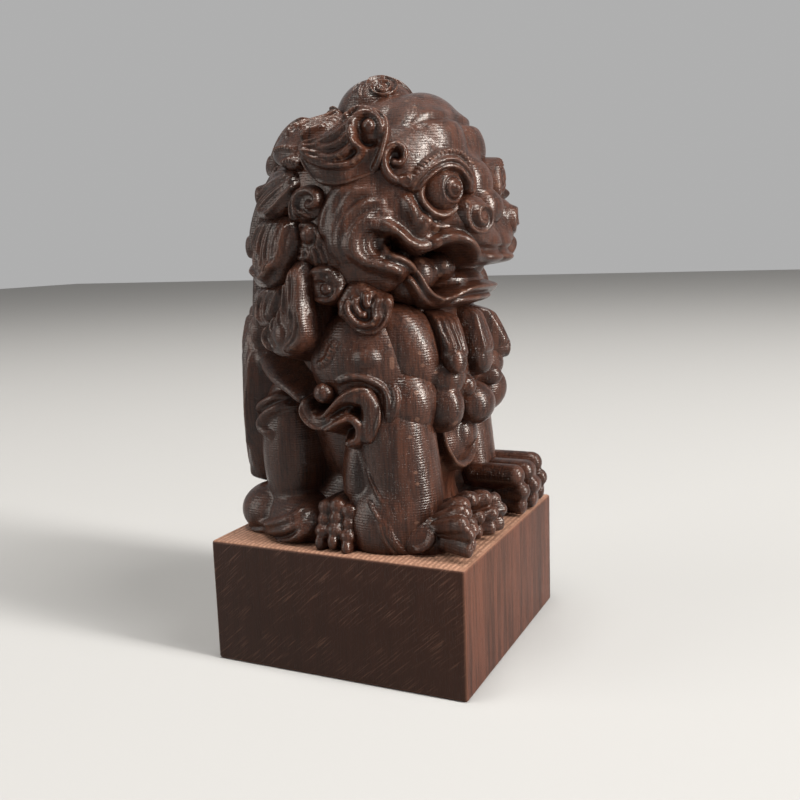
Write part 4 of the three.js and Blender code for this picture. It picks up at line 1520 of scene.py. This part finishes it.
@dataclass
class Mane(Form):
    """Rows of combed locks that fall round the back of the head."""

    middle_height: float = 75.0
    reach: float = 24.2
    tall: float = 26.6
    bulge_spot: Spot = (124, 89)
    bulge_depth: float = 11.6
    bulge_size: Triple = (9.0, 8.5, 9.0)
    seat_drop: float = 4.0
    drawings: tuple[LockDrawing, ...] = (
        LockDrawing(
            "top_front_lock",
            ((343, 105), (330, 109), (316, 113), (302, 118), (290, 124), (280, 133), (274, 144), (274, 156),
             (283, 169), (300, 169), (305, 150), (318, 138), (334, 126), (345, 114)),
            (((340, 109), (325, 113), (309, 119), (295, 126), (284, 135), (280, 144)),
             ((341, 113), (327, 118), (312, 124), (300, 131)),
             ((340, 118), (326, 124), (313, 130), (303, 137)),
             ((328, 127), (316, 133), (305, 141))),
            (291, 135), 1.3, 1.4,
            (((279, 152), (287, 149), (297, 150)), ((284, 165), (293, 161), (302, 164))), 88.0, 0.2),
        LockDrawing(
            "upper_front_lock",
            ((292, 166), (276, 168), (262, 174), (252, 186), (249, 202), (254, 216), (265, 220), (278, 214),
             (289, 203), (297, 188), (300, 172)),
            (((290, 169), (273, 173), (260, 182), (254, 198)),
             ((294, 172), (279, 179), (266, 190), (258, 207)),
             ((296, 177), (283, 187), (272, 199), (263, 214)),
             ((297, 184), (287, 196), (277, 208), (268, 216))),
            (260, 196), 1.1, 1.8, (), 80.0),
        LockDrawing(
            "middle_front_lock",
            ((256, 219), (250, 246), (250, 270), (258, 285), (267, 290), (278, 283), (284, 269), (290, 253),
             (293, 236), (288, 219), (272, 214)),
            (((261, 221), (256, 243), (255, 262), (259, 277)),
             ((267, 220), (262, 240), (262, 256)),
             ((273, 220), (269, 240), (269, 257), (272, 270), (266, 283)),
             ((280, 221), (276, 240), (276, 257), (277, 268), (269, 284)),
             ((286, 223), (283, 241), (282, 257), (279, 270))),
            (264, 267), 0.9, 1.6, (), 70.0),
        LockDrawing(
            "lower_front_lock",
            ((286, 263), (300, 260), (306, 274), (306, 294), (309, 315), (310, 335), (304, 350), (290, 358),
             (277, 356), (268, 347), (265, 333), (269, 321), (277, 311), (281, 298), (282, 280)),
            (((298, 266), (302, 285), (303, 305), (306, 325), (303, 342), (292, 353)),
             ((293, 266), (297, 285), (298, 305), (300, 322), (297, 338), (287, 350)),
             ((289, 268), (291, 288), (293, 305), (294, 320)),
             ((285, 282), (286, 300), (285, 313)),
             ((272, 325), (270, 338), (276, 350))),
            (282, 335), 1.7, 2.0, (), 60.0),
        LockDrawing(
            "lower_back_lock",
            ((258, 285), (253, 300), (254, 318), (262, 328), (272, 325), (280, 312), (284, 298), (282, 284),
             (270, 280)),
            (((262, 288), (257, 303), (260, 320)),
             ((268, 288), (262, 303), (265, 322)),
             ((274, 288), (269, 303), (271, 321)),
             ((280, 288), (276, 303), (275, 316))),
            None, 1.0, 1.0, (), 62.0))
    side_locks: tuple[LockSize, ...] = (
        LockSize("top_back_lock", ((126, 103), (140, 99), (150, 94), (156, 89)), 4.6, lean=0.2),
        LockSize("upper_back_lock", ((148, 92), (152, 86), (156, 80), (157, 74)), 4.6),
        LockSize("middle_back_lock", ((150, 78), (154, 73), (156, 67), (156, 61)), 4.4))
    centre_locks: tuple[LockSize, ...] = (
        LockSize("top_centre_lock", ((180, 104), (180, 98), (180, 92), (180, 86)), 4.6, lean=0.2),
        LockSize("middle_centre_lock", ((180, 86), (180, 80), (180, 75), (180, 69)), 4.8),
        LockSize("lower_centre_lock", ((180, 72), (180, 66), (180, 61), (180, 56)), 4.8))

    def build(self) -> None:
        """Carves the locks."""
        for drawing in self.drawings:
            self.pair(drawing.name, self.carve_drawing(drawing), (-4.0, 4.0, drawing.seat_height))
        for lock in self.side_locks:
            self.pair(lock.name, self.carve_lock(lock), (-2.0, 6.0, lock.route[1][1] - self.seat_drop))
        for lock in self.centre_locks:
            self.single(lock.name, self.carve_lock(lock), (0.0, 6.0, lock.route[1][1] - self.seat_drop))

    def start(self, edge: Route, lean: float) -> Relief:
        """Begins a lock as a piece of the mane's round inside an outline.

        Args:
            edge: The outline's angles and heights.
            lean: How far its root lies below the round.

        Returns:
            Its surface.
        """
        relief = Relief(AXIS, *around(edge), floor=9.0, pitch=0.2)
        self.round_off(relief, self.reach)
        heights = [height for _, height in edge]
        share = np.clip((relief.height - min(heights)) / (max(heights) - min(heights)), 0, 1)
        relief.reach -= lean * share**1.5
        relief.trim(edge, 1.8, 1.5)
        relief.soften()
        return relief

    def round_off(self, relief: Relief, reach: float) -> None:
        """Turns a surface into the mane's round: a dome over an upright barrel.

        Args:
            relief: The surface.
            reach: The barrel's reach.
        """
        relief.build_up(Ball((180, self.middle_height), 0.0, reach, reach, self.tall, 0),
                        Ball(self.bulge_spot, reach - self.bulge_depth, *self.bulge_size, 2))
        relief.reach = np.where(relief.height < self.middle_height, reach, relief.reach)

    def carve_drawing(self, drawing: LockDrawing) -> Relief:
        """Carves a lock that the photograph shows.

        Args:
            drawing: Its lines.

        Returns:
            Its surface.
        """
        round_mane = Relief(AXIS, (60, 180), (50, 110), floor=12.0, pitch=0.5)
        self.round_off(round_mane, self.reach - 0.8)
        relief = self.start(round_mane.trace(drawing.outline), drawing.lean)
        strands = [round_mane.trace(strand) for strand in drawing.strands]
        for strand in strands:
            relief.ridge(strand, 0.5, 1.1, fade=0.12)
        relief.hair(strands, 2, 0.32, 0.75)
        for cord in drawing.cords:
            relief.ridge(round_mane.trace(cord), 0.7, 1.0, fade=0.1, notch=0.8, notch_pitch=0.75)
        if drawing.knot:
            spot = round_mane.trace([drawing.knot])[0]
            relief.bead(spot, drawing.knot_wide, 0.8, drawing.knot_tall / drawing.knot_wide)
        relief.soften()
        return relief

    def carve_lock(self, lock: LockSize) -> Relief:
        """Carves a lock that falls down the back.

        Args:
            lock: Its sizes.

        Returns:
            Its surface.
        """
        relief = self.start(lock_edge(lock), lock.lean)
        comb_lock(relief, lock)
        relief.soften()
        return relief


def lock_edge(lock: LockSize) -> Route:
    """Gives a lock's outline: a strip along its route with a round end.

    Args:
        lock: Its sizes.

    Returns:
        Angles and heights.
    """
    route = soft_curve([(angle / AXIS.degree, height) for angle, height in lock.route], 4)
    way = np.gradient(route, axis=0)
    aside = np.stack([way[:, 1], -way[:, 0]], -1) / np.hypot(*way.T)[:, None]
    share = np.linspace(0, 1, len(route))
    width = lock.width * (lock.root + (lock.tip - lock.root) * share)
    width *= np.sqrt(np.minimum(1, 1.06 - share**6))
    sides = np.vstack([route + aside * width[:, None], (route - aside * width[:, None])[::-1]])
    return [(float(across) * AXIS.degree, float(height)) for across, height in sides]


def comb_lock(relief: Relief, lock: LockSize) -> None:
    """Lays a lock's strands side by side, drawn together round the smooth oval near its end.

    Args:
        relief: The lock's surface.
        lock: Its sizes.
    """
    strands = []
    for number in range(lock.strands):
        place = 2 * (number + 0.5) / lock.strands - 1
        strand = []
        for share, (angle, height) in zip((0.0, 0.35, 0.7, 1.0), lock.route):
            width = lock.width * (lock.root + (lock.tip - lock.root) * share) * (0.95 - 0.3 * share)
            strand.append((angle + place * width * AXIS.degree, height + 1.2 * abs(place) * share))
        relief.ridge(strand, lock.width / lock.strands * 0.6, 0.7, fade=0.1)
        strands.append(strand)
    relief.hair(strands, 1)
    angle, height = lock.route[-1]
    relief.bead((angle, height + lock.knot_tall), lock.knot_wide, 0.9, lock.knot_tall / lock.knot_wide)


@dataclass
class Beard(Form):
    """Three combed locks that fan out under the chin."""

    side_outline: Route = (
        (437, 313), (434, 321), (439, 335), (444, 348), (448, 361), (456, 371), (465, 374), (471, 367),
        (471, 352), (467, 336), (463, 324), (460, 313))
    side_reach: Spot = (19.6, 24.0)
    side_heights: Spot = (64.0, 53.0)
    side_strands: Routes = (
        ((436, 316), (439, 328), (445, 341), (449, 352)), ((441, 315), (445, 327), (450, 340), (453, 350)),
        ((447, 315), (451, 327), (456, 340), (460, 354)), ((453, 315), (457, 327), (461, 340), (465, 356)),
        ((459, 316), (463, 329), (467, 342), (469, 358)))
    side_knot: Spot = (459, 362)
    middle_outline: Route = (
        (0, 64.5), (7, 64.0), (9, 60.0), (10, 56.0), (7, 53.0), (0, 51.6), (-7, 53.0), (-10, 56.0),
        (-9, 60.0), (-7, 64.0))
    middle_reach: Spot = (18.4, 21.4)
    middle_strands: int = 4
    middle_spread: float = 7.0

    def build(self) -> None:
        """Carves the beard."""
        relief = Relief(AXIS, (8, 60), (51, 66), floor=12.0, pitch=0.17)
        self.slope(relief, self.side_reach)
        outline = relief.trace(self.side_outline)
        strands = [relief.trace(strand) for strand in self.side_strands]
        (knot,) = relief.trace([self.side_knot])
        relief.trim(outline, 2.2, 2.4)
        relief.soften()
        for strand in strands:
            relief.ridge(strand, 0.5, 0.8, fade=0.15)
        relief.hair(strands, 1, 0.28)
        relief.bead(knot, 1.6, 0.9, 1.3, blend=0.4)
        relief.soften()
        self.pair("beard_lock", relief, (-4.0, -6.0, 60.0))
        middle = Relief(AXIS, (-16, 16), (50, 66), floor=12.0, pitch=0.17)
        self.slope(middle, self.middle_reach)
        middle.trim(self.middle_outline, 2.4, 2.4)
        middle.soften()
        for number in range(self.middle_strands):
            angle = self.middle_spread * (number + 0.5) / self.middle_strands
            middle.ridge(((angle * 0.8, 64), (angle, 60), (angle * 1.1, 56)), 0.45, 0.7, fade=0.15)
        middle.soften()
        self.single("beard_middle_lock", middle, (0.0, -4.0, 60.0))

    def slope(self, relief: Relief, reach: Spot) -> None:
        """Sets a surface that stands out further towards the locks' tips.

        Args:
            relief: The surface.
            reach: Its reach at the root and at the tip.
        """
        root, tip = self.side_heights
        share = np.clip((relief.height - root) / (tip - root), 0, 1)
        relief.reach = reach[0] + (reach[1] - reach[0]) * np.sin(share * math.pi / 2)


# Forms of the body


@dataclass
class Torso(Form):
    """The trunk, rump and belly."""

    trunk: Ball = Ball((180, 52), 0.0, 17.4, 17.2, 30, 0)
    loin: Ball = Ball((180, 37), 14.0, 15.0, 9.4, 17, 3)
    rump: Ball = Ball((180, 24), 4.0, 17.5, 17.5, 14, 3)
    belly: Ball = Ball((0, 39.6), 11.6, 7.6, 5.4, 6.6, 0.6)
    navel: Ball = Ball((0, 40.9), 13.8, 4.4, 4.4, 4.4, 0.3)
    lower_fold: Route = ((32, 45.5), (27, 40.2), (19, 36.4), (9, 34.6), (0, 34.4), (-8, 34.6))
    upper_fold: Route = ((34, 50), (30, 45.4), (24, 43.4), (15, 42.6))

    def build(self) -> None:
        """Carves the trunk."""
        relief = Relief(AXIS, (-180, 180), (21, 72), floor=10.0, pitch=0.34)
        relief.build_up(self.trunk, self.loin, self.rump, self.belly)
        relief.soften()
        relief.ridge(self.lower_fold, 0.9, 1.6, fade=0.2)
        relief.add_ball(self.navel)
        relief.ridge(self.upper_fold, 0.8, 0.9, fade=0.2)
        self.single("torso", relief, (0.0, 0.0, 45.0))


@dataclass
class Chest(Form):
    """The breast and the round muscles below it."""

    breast: Ball = Ball((0, 55), 12.0, 12.0, 6.2, 10.0, 0)
    side: Ball = Ball((50, 57.0), 15.0, 6.6, 7.2, 9.6, 2, turn=25)
    upper_muscle: Ball = Ball((32, 52.6), 17.0, 4.6, 6.0, 4.6, 0.4)
    lower_muscle: Ball = Ball((34, 47.6), 17.8, 4.0, 6.0, 5.2, 0.4)
    middle_muscle: Ball = Ball((0, 46.4), 17.2, 4.6, 4.6, 4.2, 0.3)
    pearl: Ball = Ball((20, 50.6), 19.4, 2.0, 2.8, 2.2, 0.2)

    def build(self) -> None:
        """Carves the chest."""
        relief = Relief(AXIS, (-66, 66), (38, 70), floor=10.0, pitch=0.24)
        relief.build_up(self.breast, self.side, self.upper_muscle, self.lower_muscle, self.middle_muscle,
                        self.pearl)
        relief.soften()
        self.single("chest", relief, (0.0, -2.0, 52.0))


@dataclass(frozen=True)
class Toe:
    """A toe of the forepaw: a bar that runs forward, a knuckle below its end and a claw.

    Its sizes are where it lies across the lion, where its claw ends, its bar's height and its bar's length.
    """

    across: float
    front: float
    height: float
    length: int
    width: float = 2.2


@dataclass
class Foreleg(Form):
    """The upper arm, the forearm and the paw."""

    flame_line: Route = ((393, 384), (396, 396), (395, 408), (391, 420), (385, 434))
    inner_line: Route = (
        (336, 383), (349, 378), (364, 378), (378, 384), (386, 393), (388, 405), (386, 418), (380, 432),
        (375, 440))
    shoulder_dome: Spot = (367, 359)
    notched_cord: Route = ((337, 341), (331, 350), (326, 361), (317, 366))
    arm_balls: tuple[Ball, ...] = (
        Ball((78, 56), 15.4, 9.6, 7.2, 9.6, 0), Ball((54, 48.6), 17.0, 6.6, 6.4, 6.8, 0.6))
    forearm: Ball = Ball((60, 45), 16.2, 7.0, 7.0, 6.0, 1.0)
    forearm_change: tuple[float, ...] = (-6, -15, 1.0, -0.2, -0.5)
    forearm_steps: int = 9
    forearm_foot: tuple[Ball, ...] = (
        Ball((62, 26.4), 16.8, 8.0, 7.6, 9.0, 3.0), Ball((72, 27), 15.4, 6.4, 6.8, 8.0, 2.5),
        Ball((80, 34), 13.6, 4.6, 6.4, 12.0, 1.0))
    paw_balls: tuple[Ball, ...] = (
        Ball((62, 25.6), 16.4, 7.2, 7.4, 6.4, 0), Ball((45, 24.6), 20.0, 7.0, 6.0, 5.8, 1.0))
    hair: Routes = (
        ((366, 468), (373, 485), (382, 504)), ((369, 500), (374, 511), (380, 522)),
        ((388, 524), (394, 539), (405, 552), (418, 563)), ((383, 520), (388, 536), (398, 550), (411, 562)),
        ((378, 520), (383, 536), (392, 550), (404, 561)))
    curl: Route = ((432, 531), (430, 541), (423, 548), (413, 550))
    near_toes: tuple[Toe, ...] = (
        Toe(-21.4, -25.6, 29.6, 1, 1.6), Toe(-18.4, -25.0, 30.6, 2, 1.6), Toe(-15.4, -23.6, 31.0, 2, 1.6),
        Toe(-12.6, -21.6, 30.6, 2, 1.5))
    far_toes: tuple[Toe, ...] = (
        Toe(-19.2, -25.4, 31.0, 9), Toe(-13.8, -25.8, 30.6, 11), Toe(-8.6, -25.0, 29.2, 4))

    def build(self) -> None:
        """Carves the forelegs."""
        self.carve_upper_arm()
        self.carve_forearm()
        self.carve_paw()

    def carve_upper_arm(self) -> None:
        """Carves the ball of the upper arm and the shoulder behind it."""
        relief = Relief(AXIS, (30, 112), (40, 68), floor=11.0, pitch=0.22)
        relief.build_up(*self.arm_balls)
        relief.dome(relief.trace([self.shoulder_dome])[0], 2.6, 2.2, 0.9)
        relief.soften()
        relief.ridge(relief.trace(self.flame_line), 0.7, 0.9, fade=0.3)
        relief.ridge(relief.trace(self.inner_line), 0.7, 0.9, fade=0.2)
        relief.ridge(relief.trace(self.notched_cord), 0.8, 0.7, fade=0.2, notch=0.5, notch_pitch=0.8)
        self.pair("upper_arm", relief, (-8.0, -4.0, 53.0))

    def carve_forearm(self) -> None:
        """Carves the forearm: balls that change evenly from the elbow to the wrist, and its foot."""
        relief = Relief(AXIS, (22, 96), (22, 52), floor=11.0, pitch=0.22)
        top = self.forearm
        for step in range(self.forearm_steps + 1):
            share = step / self.forearm_steps
            turn, drop, out, width, depth = (share * part for part in self.forearm_change)
            spot = (top.spot[0] + turn, top.spot[1] + drop)
            relief.add_ball(Ball(spot, top.reach + out, top.width + width, top.depth + depth, top.tall,
                                 top.blend))
        relief.build_up(*self.forearm_foot)
        relief.soften(2)
        for line in self.hair:
            relief.ridge(relief.trace(line), 0.42, 0.5, fade=0.3)
        self.pair("foreleg", relief, (-10.0, -6.0, 38.0))

    def carve_paw(self) -> None:
        """Carves the forepaws: short toes on the right one, and three long toes on the left one."""
        for side, toes in ((Side.RIGHT, self.near_toes), (Side.LEFT, self.far_toes)):
            self.one(side, "forepaw", self.shape_paw(toes), (-13.0, -9.0, 24.0))

    def shape_paw(self, toes: Sequence[Toe]) -> Relief:
        """Shapes a forepaw.

        Args:
            toes: Its toes.

        Returns:
            Its surface.
        """
        spine = Spine(across=-13.4, back=-9.6, low=23.0, high=25.0, scale=10.0)
        relief = Relief(spine, (-180, 180), (22.7, spine.top), floor=2.0, pitch=0.16)
        relief.build_up(*self.paw_balls)
        for toe in toes:
            self.add_toe(relief, toe)
        relief.soften()
        relief.ridge(relief.trace(self.curl), 0.8, 1.0, fade=0.2)
        return relief

    def add_toe(self, relief: Relief, toe: Toe) -> None:
        """Adds a toe.

        Args:
            relief: The paw's surface.
            toe: Its sizes.
        """
        wide, bar_start, blend = toe.width, 2.6, 0.25
        bar = [(bar_start + step, toe.height, wide, wide) for step in range(toe.length)]
        knuckle, claw = (1.2, 28.0, 0.85 * wide, 0.85 * wide), (1.5, 25.4, 0.7 * wide, wide)
        for back, height, width, tall in (*bar, knuckle, claw):
            place = (toe.across, toe.front + back)
            spot = (math.degrees(math.atan2(-place[0], -place[1])), height)
            relief.add_ball(Ball(spot, math.hypot(*place), width, width, tall, blend))


@dataclass
class HindLeg(Form):
    """The haunch and the hind foot."""

    heel_strands: Routes = (
        ((262, 525), (280, 522), (297, 514), (316, 501)),
        ((248, 525), (258, 532), (282, 531), (299, 524), (312, 517)),
        ((275, 542), (294, 540), (305, 532), (313, 521)), ((252, 533), (264, 540), (280, 544)))
    hooks: Routes = (
        ((261, 415), (264, 404), (271, 396), (279, 393)),
        ((271, 437), (266, 425), (268, 413), (275, 405), (284, 401), (293, 403)))
    front_edge: Route = ((308, 432), (313, 444), (314, 458), (313, 472))
    haunch_balls: tuple[Ball, ...] = (
        Ball((136, 39), 18.4, 6.4, 6.2, 15.0, 0), Ball((136, 26), 17.4, 12.0, 7.4, 6.0, 1.5),
        Ball((146, 26.6), 21.8, 6.4, 7.0, 5.4, 1.5))
    foot_balls: tuple[Ball, ...] = (
        Ball((92, 26.0), 17.4, 4.4, 4.6, 6.0, 0), Ball((86, 25), 17.6, 4.6, 4.4, 4.0, 0.6))
    toes: tuple[Spot, ...] = ((84.5, -0.5), (91.0, 0.4), (97.6, -0.1))
    toe_depth: float = 1.9
    toe_knots: tuple[tuple[float, float, float, float], ...] = (
        (30.2, 20.2, 1.75, 1.7), (28.2, 20.8, 1.4, 1.5), (26.2, 21.6, 1.65, 1.5), (24.3, 22.2, 1.15, 1.7))

    def build(self) -> None:
        """Carves the hind legs."""
        relief = Relief(AXIS, (84, 174), (22, 62), floor=11.0, pitch=0.22)
        relief.build_up(*self.haunch_balls)
        relief.soften(2)
        for strand in self.heel_strands:
            relief.ridge(relief.trace(strand), 1.0, 1.5, fade=0.25)
        for hook in self.hooks:
            relief.ridge(SIGHT.trace(hook, 24.0), 1.0, 1.8, fade=0.25)
        relief.ridge(relief.trace(self.front_edge), 0.8, 0.6, fade=0.3)
        relief.soften()
        self.pair("haunch", relief, (-8.0, 8.0, 36.0))
        foot = Relief(AXIS, (68, 116), (22, 38), floor=12.0, pitch=0.16)
        foot.build_up(*self.foot_balls)
        for angle, rise in self.toes:
            for height, reach, width, tall in self.toe_knots:
                foot.add_ball(Ball((angle, height + rise), reach, width, self.toe_depth, tall, 0.5))
        foot.soften()
        self.pair("hind_foot", foot, (-12.0, 0.0, 25.0))


@dataclass
class ShoulderFlame(Form):
    """A curling flame on the shoulder, round a ball."""

    body: Route = (
        (303, 404), (306, 415), (315, 423), (326, 421), (336, 411), (347, 401), (359, 397), (368, 404),
        (371, 419), (367, 436))
    upper_line: Route = (
        (309, 408), (315, 415), (323, 415), (330, 409), (337, 400), (347, 392), (358, 388), (369, 388),
        (378, 394), (382, 406), (380, 422), (375, 438))
    lower_line: Route = ((299, 404), (301, 414), (308, 424), (318, 430), (328, 429), (338, 423), (347, 418))
    crescent: Route = ((327, 418), (337, 411), (348, 407), (358, 411))
    hook: Route = ((328, 428), (338, 422), (348, 419), (356, 424), (359, 433), (356, 441), (348, 444))
    pearl: Spot = (320, 394)
    pearl_reach: float = 21.0
    pearl_size: Triple = (2.0, 2.6, 2.0)

    def build(self) -> None:
        """Carves the flames."""
        relief = Relief(AXIS, (54, 116), (38, 60), floor=13.0, pitch=0.18)
        relief.band(SIGHT.trace(self.body, 22.8), 2.2, 21.6, 1.5, root=0.5, tip=0.8, swell=0.1, blend=0.1)
        relief.band(SIGHT.trace(self.hook, 22.8), 1.2, 21.6, 1.5, root=0.8, tip=0.8, blend=0.1)
        relief.soften()
        relief.ridge(SIGHT.trace(self.crescent, 22.8), 1.0, -1.6, fade=0.3)
        relief.ridge(SIGHT.trace(self.upper_line, 23.0), 0.6, 0.9, fade=0.1)
        relief.ridge(SIGHT.trace(self.lower_line, 23.0), 0.6, 0.8, fade=0.1)
        relief.add_ball(Ball(SIGHT.spot(self.pearl, 23.0), self.pearl_reach, *self.pearl_size, 0.1))
        relief.soften()
        self.pair("shoulder_flame", relief, (-10.0, 0.0, 48.0))


@dataclass
class Tail(Form):
    """The plume of the tail up the back, with a leaf on each side."""

    plume: Route = ((180, 24), (180, 34), (180, 48), (180, 62))
    leaf: Route = ((154, 33), (151, 40), (150, 50), (151, 58), (156, 63))
    ribbon: Route = ((249, 320), (250, 336), (254, 354), (261, 370), (271, 382), (283, 391), (294, 400))
    rim_lines: Routes = (
        ((246, 332), (244, 352), (244, 376), (246, 400), (249, 424), (253, 448)),
        ((252, 350), (250, 376), (252, 400), (255, 424), (258, 446)))
    leaf_line: Route = ((159, 31), (154, 40), (152, 50), (153, 58), (158, 64))
    side_line_turns: tuple[float, ...] = (-9, 8)
    ribbon_groove_shift: Spot = (2, 3)
    strand_places: tuple[float, ...] = (-0.8, -0.4, 0.0, 0.4, 0.8)
    strand_spread: Route = ((8, 24), (16, 34), (19, 46), (10, 60))

    def build(self) -> None:
        """Carves the tail."""
        relief = Relief(AXIS, (150, 210), (22, 66), floor=13.0, pitch=0.24)
        relief.band(self.plume, 6.0, (20.6, 21.2), 2.8, blend=0, root=0.8, tip=0.5, swell=0.3)
        for place in self.strand_places:
            strand = [(180 + place * wide, height) for wide, height in self.strand_spread]
            relief.ridge(strand, 1.1, 1.0, fade=0.1)
        relief.soften()
        self.single("tail", relief, (0.0, 8.0, 42.0))
        leaf = Relief(AXIS, (104, 178), (24, 70), floor=13.0, pitch=0.22)
        leaf.band(self.leaf, 4.4, (24.8, 23.6), 2.4, blend=0, root=0.35, tip=0.3, swell=0.45, fullness=0.6)
        ribbon = SIGHT.trace(self.ribbon, (25.0, 23.6))
        leaf.band(ribbon, 2.3, (22.8, 21.2), 1.9, blend=0.6, root=0.7, tip=0.45)
        leaf.soften(2)
        for line in self.rim_lines:
            leaf.ridge(leaf.trace(line), 0.7, 0.9, fade=0.2)
        aside, below = self.ribbon_groove_shift
        groove = [(across + aside, down + below) for across, down in self.ribbon]
        leaf.ridge(leaf.trace(groove), 0.5, -0.8, fade=0.1)
        leaf.ridge(self.leaf_line, 0.8, 1.0)
        for turn in self.side_line_turns:
            leaf.ridge([(angle + turn, height) for angle, height in self.leaf_line], 0.7, 0.9)
        leaf.soften()
        self.pair("tail_flame", leaf, (-4.0, 8.0, 42.0))


@dataclass
class Block:
    """The square block whose underside is the seal face."""

    finish: bpy.types.Material
    side: float = 50.0
    height: float = 23.0
    edge: float = 0.55

    def build(self) -> None:
        """Makes the block with softly worn edges."""
        bm = bmesh.new()
        half, middle = self.side / 2 * MM, self.height / 2 * MM
        matrix = Matrix.Translation((0, 0, middle)) @ Matrix.Diagonal((half, half, middle, 1))
        bmesh.ops.create_cube(bm, size=2.0, matrix=matrix)
        bmesh.ops.bevel(bm, geom=list(bm.edges), offset=self.edge * MM, affect="EDGES", segments=4,
                        profile=0.5, material=-1)
        bmesh.ops.recalc_face_normals(bm, faces=bm.faces)
        piece = mesh_of(bm, "carved_block")
        settle(piece, ["seal_block"], self.finish)


@dataclass(frozen=True)
class Lamp:
    """A soft lamp: its place, and its width and height, in metres, and its power in watts."""

    name: str
    at: Triple
    size: Spot
    power: float


@dataclass
class Studio:
    """The camera at the photograph's angle, a pale floor, soft daylight and lamps, and a dim room."""

    sight: Sight = SIGHT
    floor_size: float = 4000.0
    floor_colour: Triple = (0.37, 0.385, 0.40)
    bounce_colour: Triple = (0.26, 0.25, 0.24)
    backdrop_colour: Triple = (0.43, 0.43, 0.43)
    room_colour: Triple = (0.048, 0.043, 0.038)
    floor_roughness: float = 0.8
    floor_shine: float = 0.1
    lamp_colour: Triple = (1.0, 0.93, 0.85)
    sun_from: Triple = (-0.06, -0.62, 0.80)
    sun_power: float = 1.45
    sun_spread: float = 20.0
    lamps_aim: Triple = (0.0, 0.0, 0.062)
    lamps: tuple[Lamp, ...] = (
        Lamp("window", (-0.04, -1.0, 0.50), (0.16, 0.90), 27.0),
        Lamp("ceiling", (-0.10, 0.04, 1.1), (0.30, 0.30), 10.0),
        Lamp("side", (-0.65, 0.85, 0.45), (0.70, 0.80), 7.0))

    def build(self) -> None:
        """Sets the camera, the floor, the lamps and the world."""
        self.set_camera()
        self.lay_floor()
        self.light_sun()
        for lamp in self.lamps:
            self.hang(lamp)
        self.paint_room()
        bpy.context.scene.view_settings.view_transform = "Standard"

    def set_camera(self) -> None:
        """Places the camera."""
        data = bpy.data.cameras.new("camera")
        data.lens = self.sight.lens
        data.sensor_width = self.sight.sensor
        data.clip_start = 0.01
        camera = bpy.data.objects.new("camera", data)
        back, up = Vector(self.sight.back), Vector(self.sight.up)
        turn = Matrix((up.cross(back), up, back)).transposed()
        camera.matrix_world = Matrix.Translation(Vector(self.sight.at) * MM) @ turn.to_4x4()
        bpy.context.scene.collection.objects.link(camera)
        bpy.context.scene.camera = camera

    def lay_floor(self) -> None:
        """Lays the floor."""
        bm = bmesh.new()
        bmesh.ops.create_grid(bm, x_segments=1, y_segments=1, size=self.floor_size / 2 * MM)
        floor = mesh_of(bm, "floor")
        material = bpy.data.materials.new("floor")
        material.use_nodes = True
        wiring = Wiring(material.node_tree)
        shader = material.node_tree.nodes["Principled BSDF"].inputs
        wiring.feed(shader["Roughness"], self.floor_roughness)
        wiring.feed(shader["Specular IOR Level"], self.floor_shine)
        colour = wiring.mix(wiring.seen(), opaque(self.bounce_colour), opaque(self.floor_colour))
        wiring.feed(shader["Base Color"], colour)
        floor.data.materials.append(material)

    def light_sun(self) -> None:
        """Sets soft daylight that falls on the lion's face from above."""
        data = bpy.data.lights.new("daylight", "SUN")
        data.energy = self.sun_power
        data.angle = math.radians(self.sun_spread)
        data.color = self.lamp_colour
        sun = bpy.data.objects.new("daylight", data)
        sun.rotation_euler = Vector(self.sun_from).to_track_quat("Z", "Y").to_euler()
        bpy.context.scene.collection.objects.link(sun)

    def hang(self, lamp: Lamp) -> None:
        """Hangs a lamp that points to the lion.

        Args:
            lamp: The lamp.
        """
        data = bpy.data.lights.new(lamp.name, "AREA")
        data.color = self.lamp_colour
        data.shape = "RECTANGLE"
        data.size, data.size_y = lamp.size
        data.energy = lamp.power
        hung = bpy.data.objects.new(lamp.name, data)
        hung.location = lamp.at
        hung.rotation_euler = (Vector(lamp.at) - Vector(self.lamps_aim)).to_track_quat("Z", "Y").to_euler()
        bpy.context.scene.collection.objects.link(hung)

    def paint_room(self) -> None:
        """Makes the world: a plain backdrop to the camera, and a dim room to the light."""
        world = bpy.data.worlds.new("room")
        world.use_nodes = True
        wiring = Wiring(world.node_tree)
        background = world.node_tree.nodes["Background"].inputs
        colour = wiring.mix(wiring.seen(), opaque(self.room_colour), opaque(self.backdrop_colour))
        wiring.feed(background["Color"], colour)
        wiring.feed(background["Strength"], 1.0)
        bpy.context.scene.world = world


def main() -> None:
    """Builds the stamp and the studio."""
    logging.basicConfig(level=logging.INFO, format="%(name)s: %(message)s", force=True)
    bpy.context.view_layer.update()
    effects = WoodEffects()
    finish = CarvedWood(effects).build()
    Block(BlockWood(effects).build()).build()
    for form in (Head, Muzzle, LowerJaw, Tongue, Nose, Eye, Eyebrow, Ear, CrownKnot, CheekCurls, Mane,
                 Beard, Torso, Chest, Foreleg, HindLeg, ShoulderFlame, Tail):
        form(finish).build()
    Studio().build()


if __name__ == "__main__":
    main()
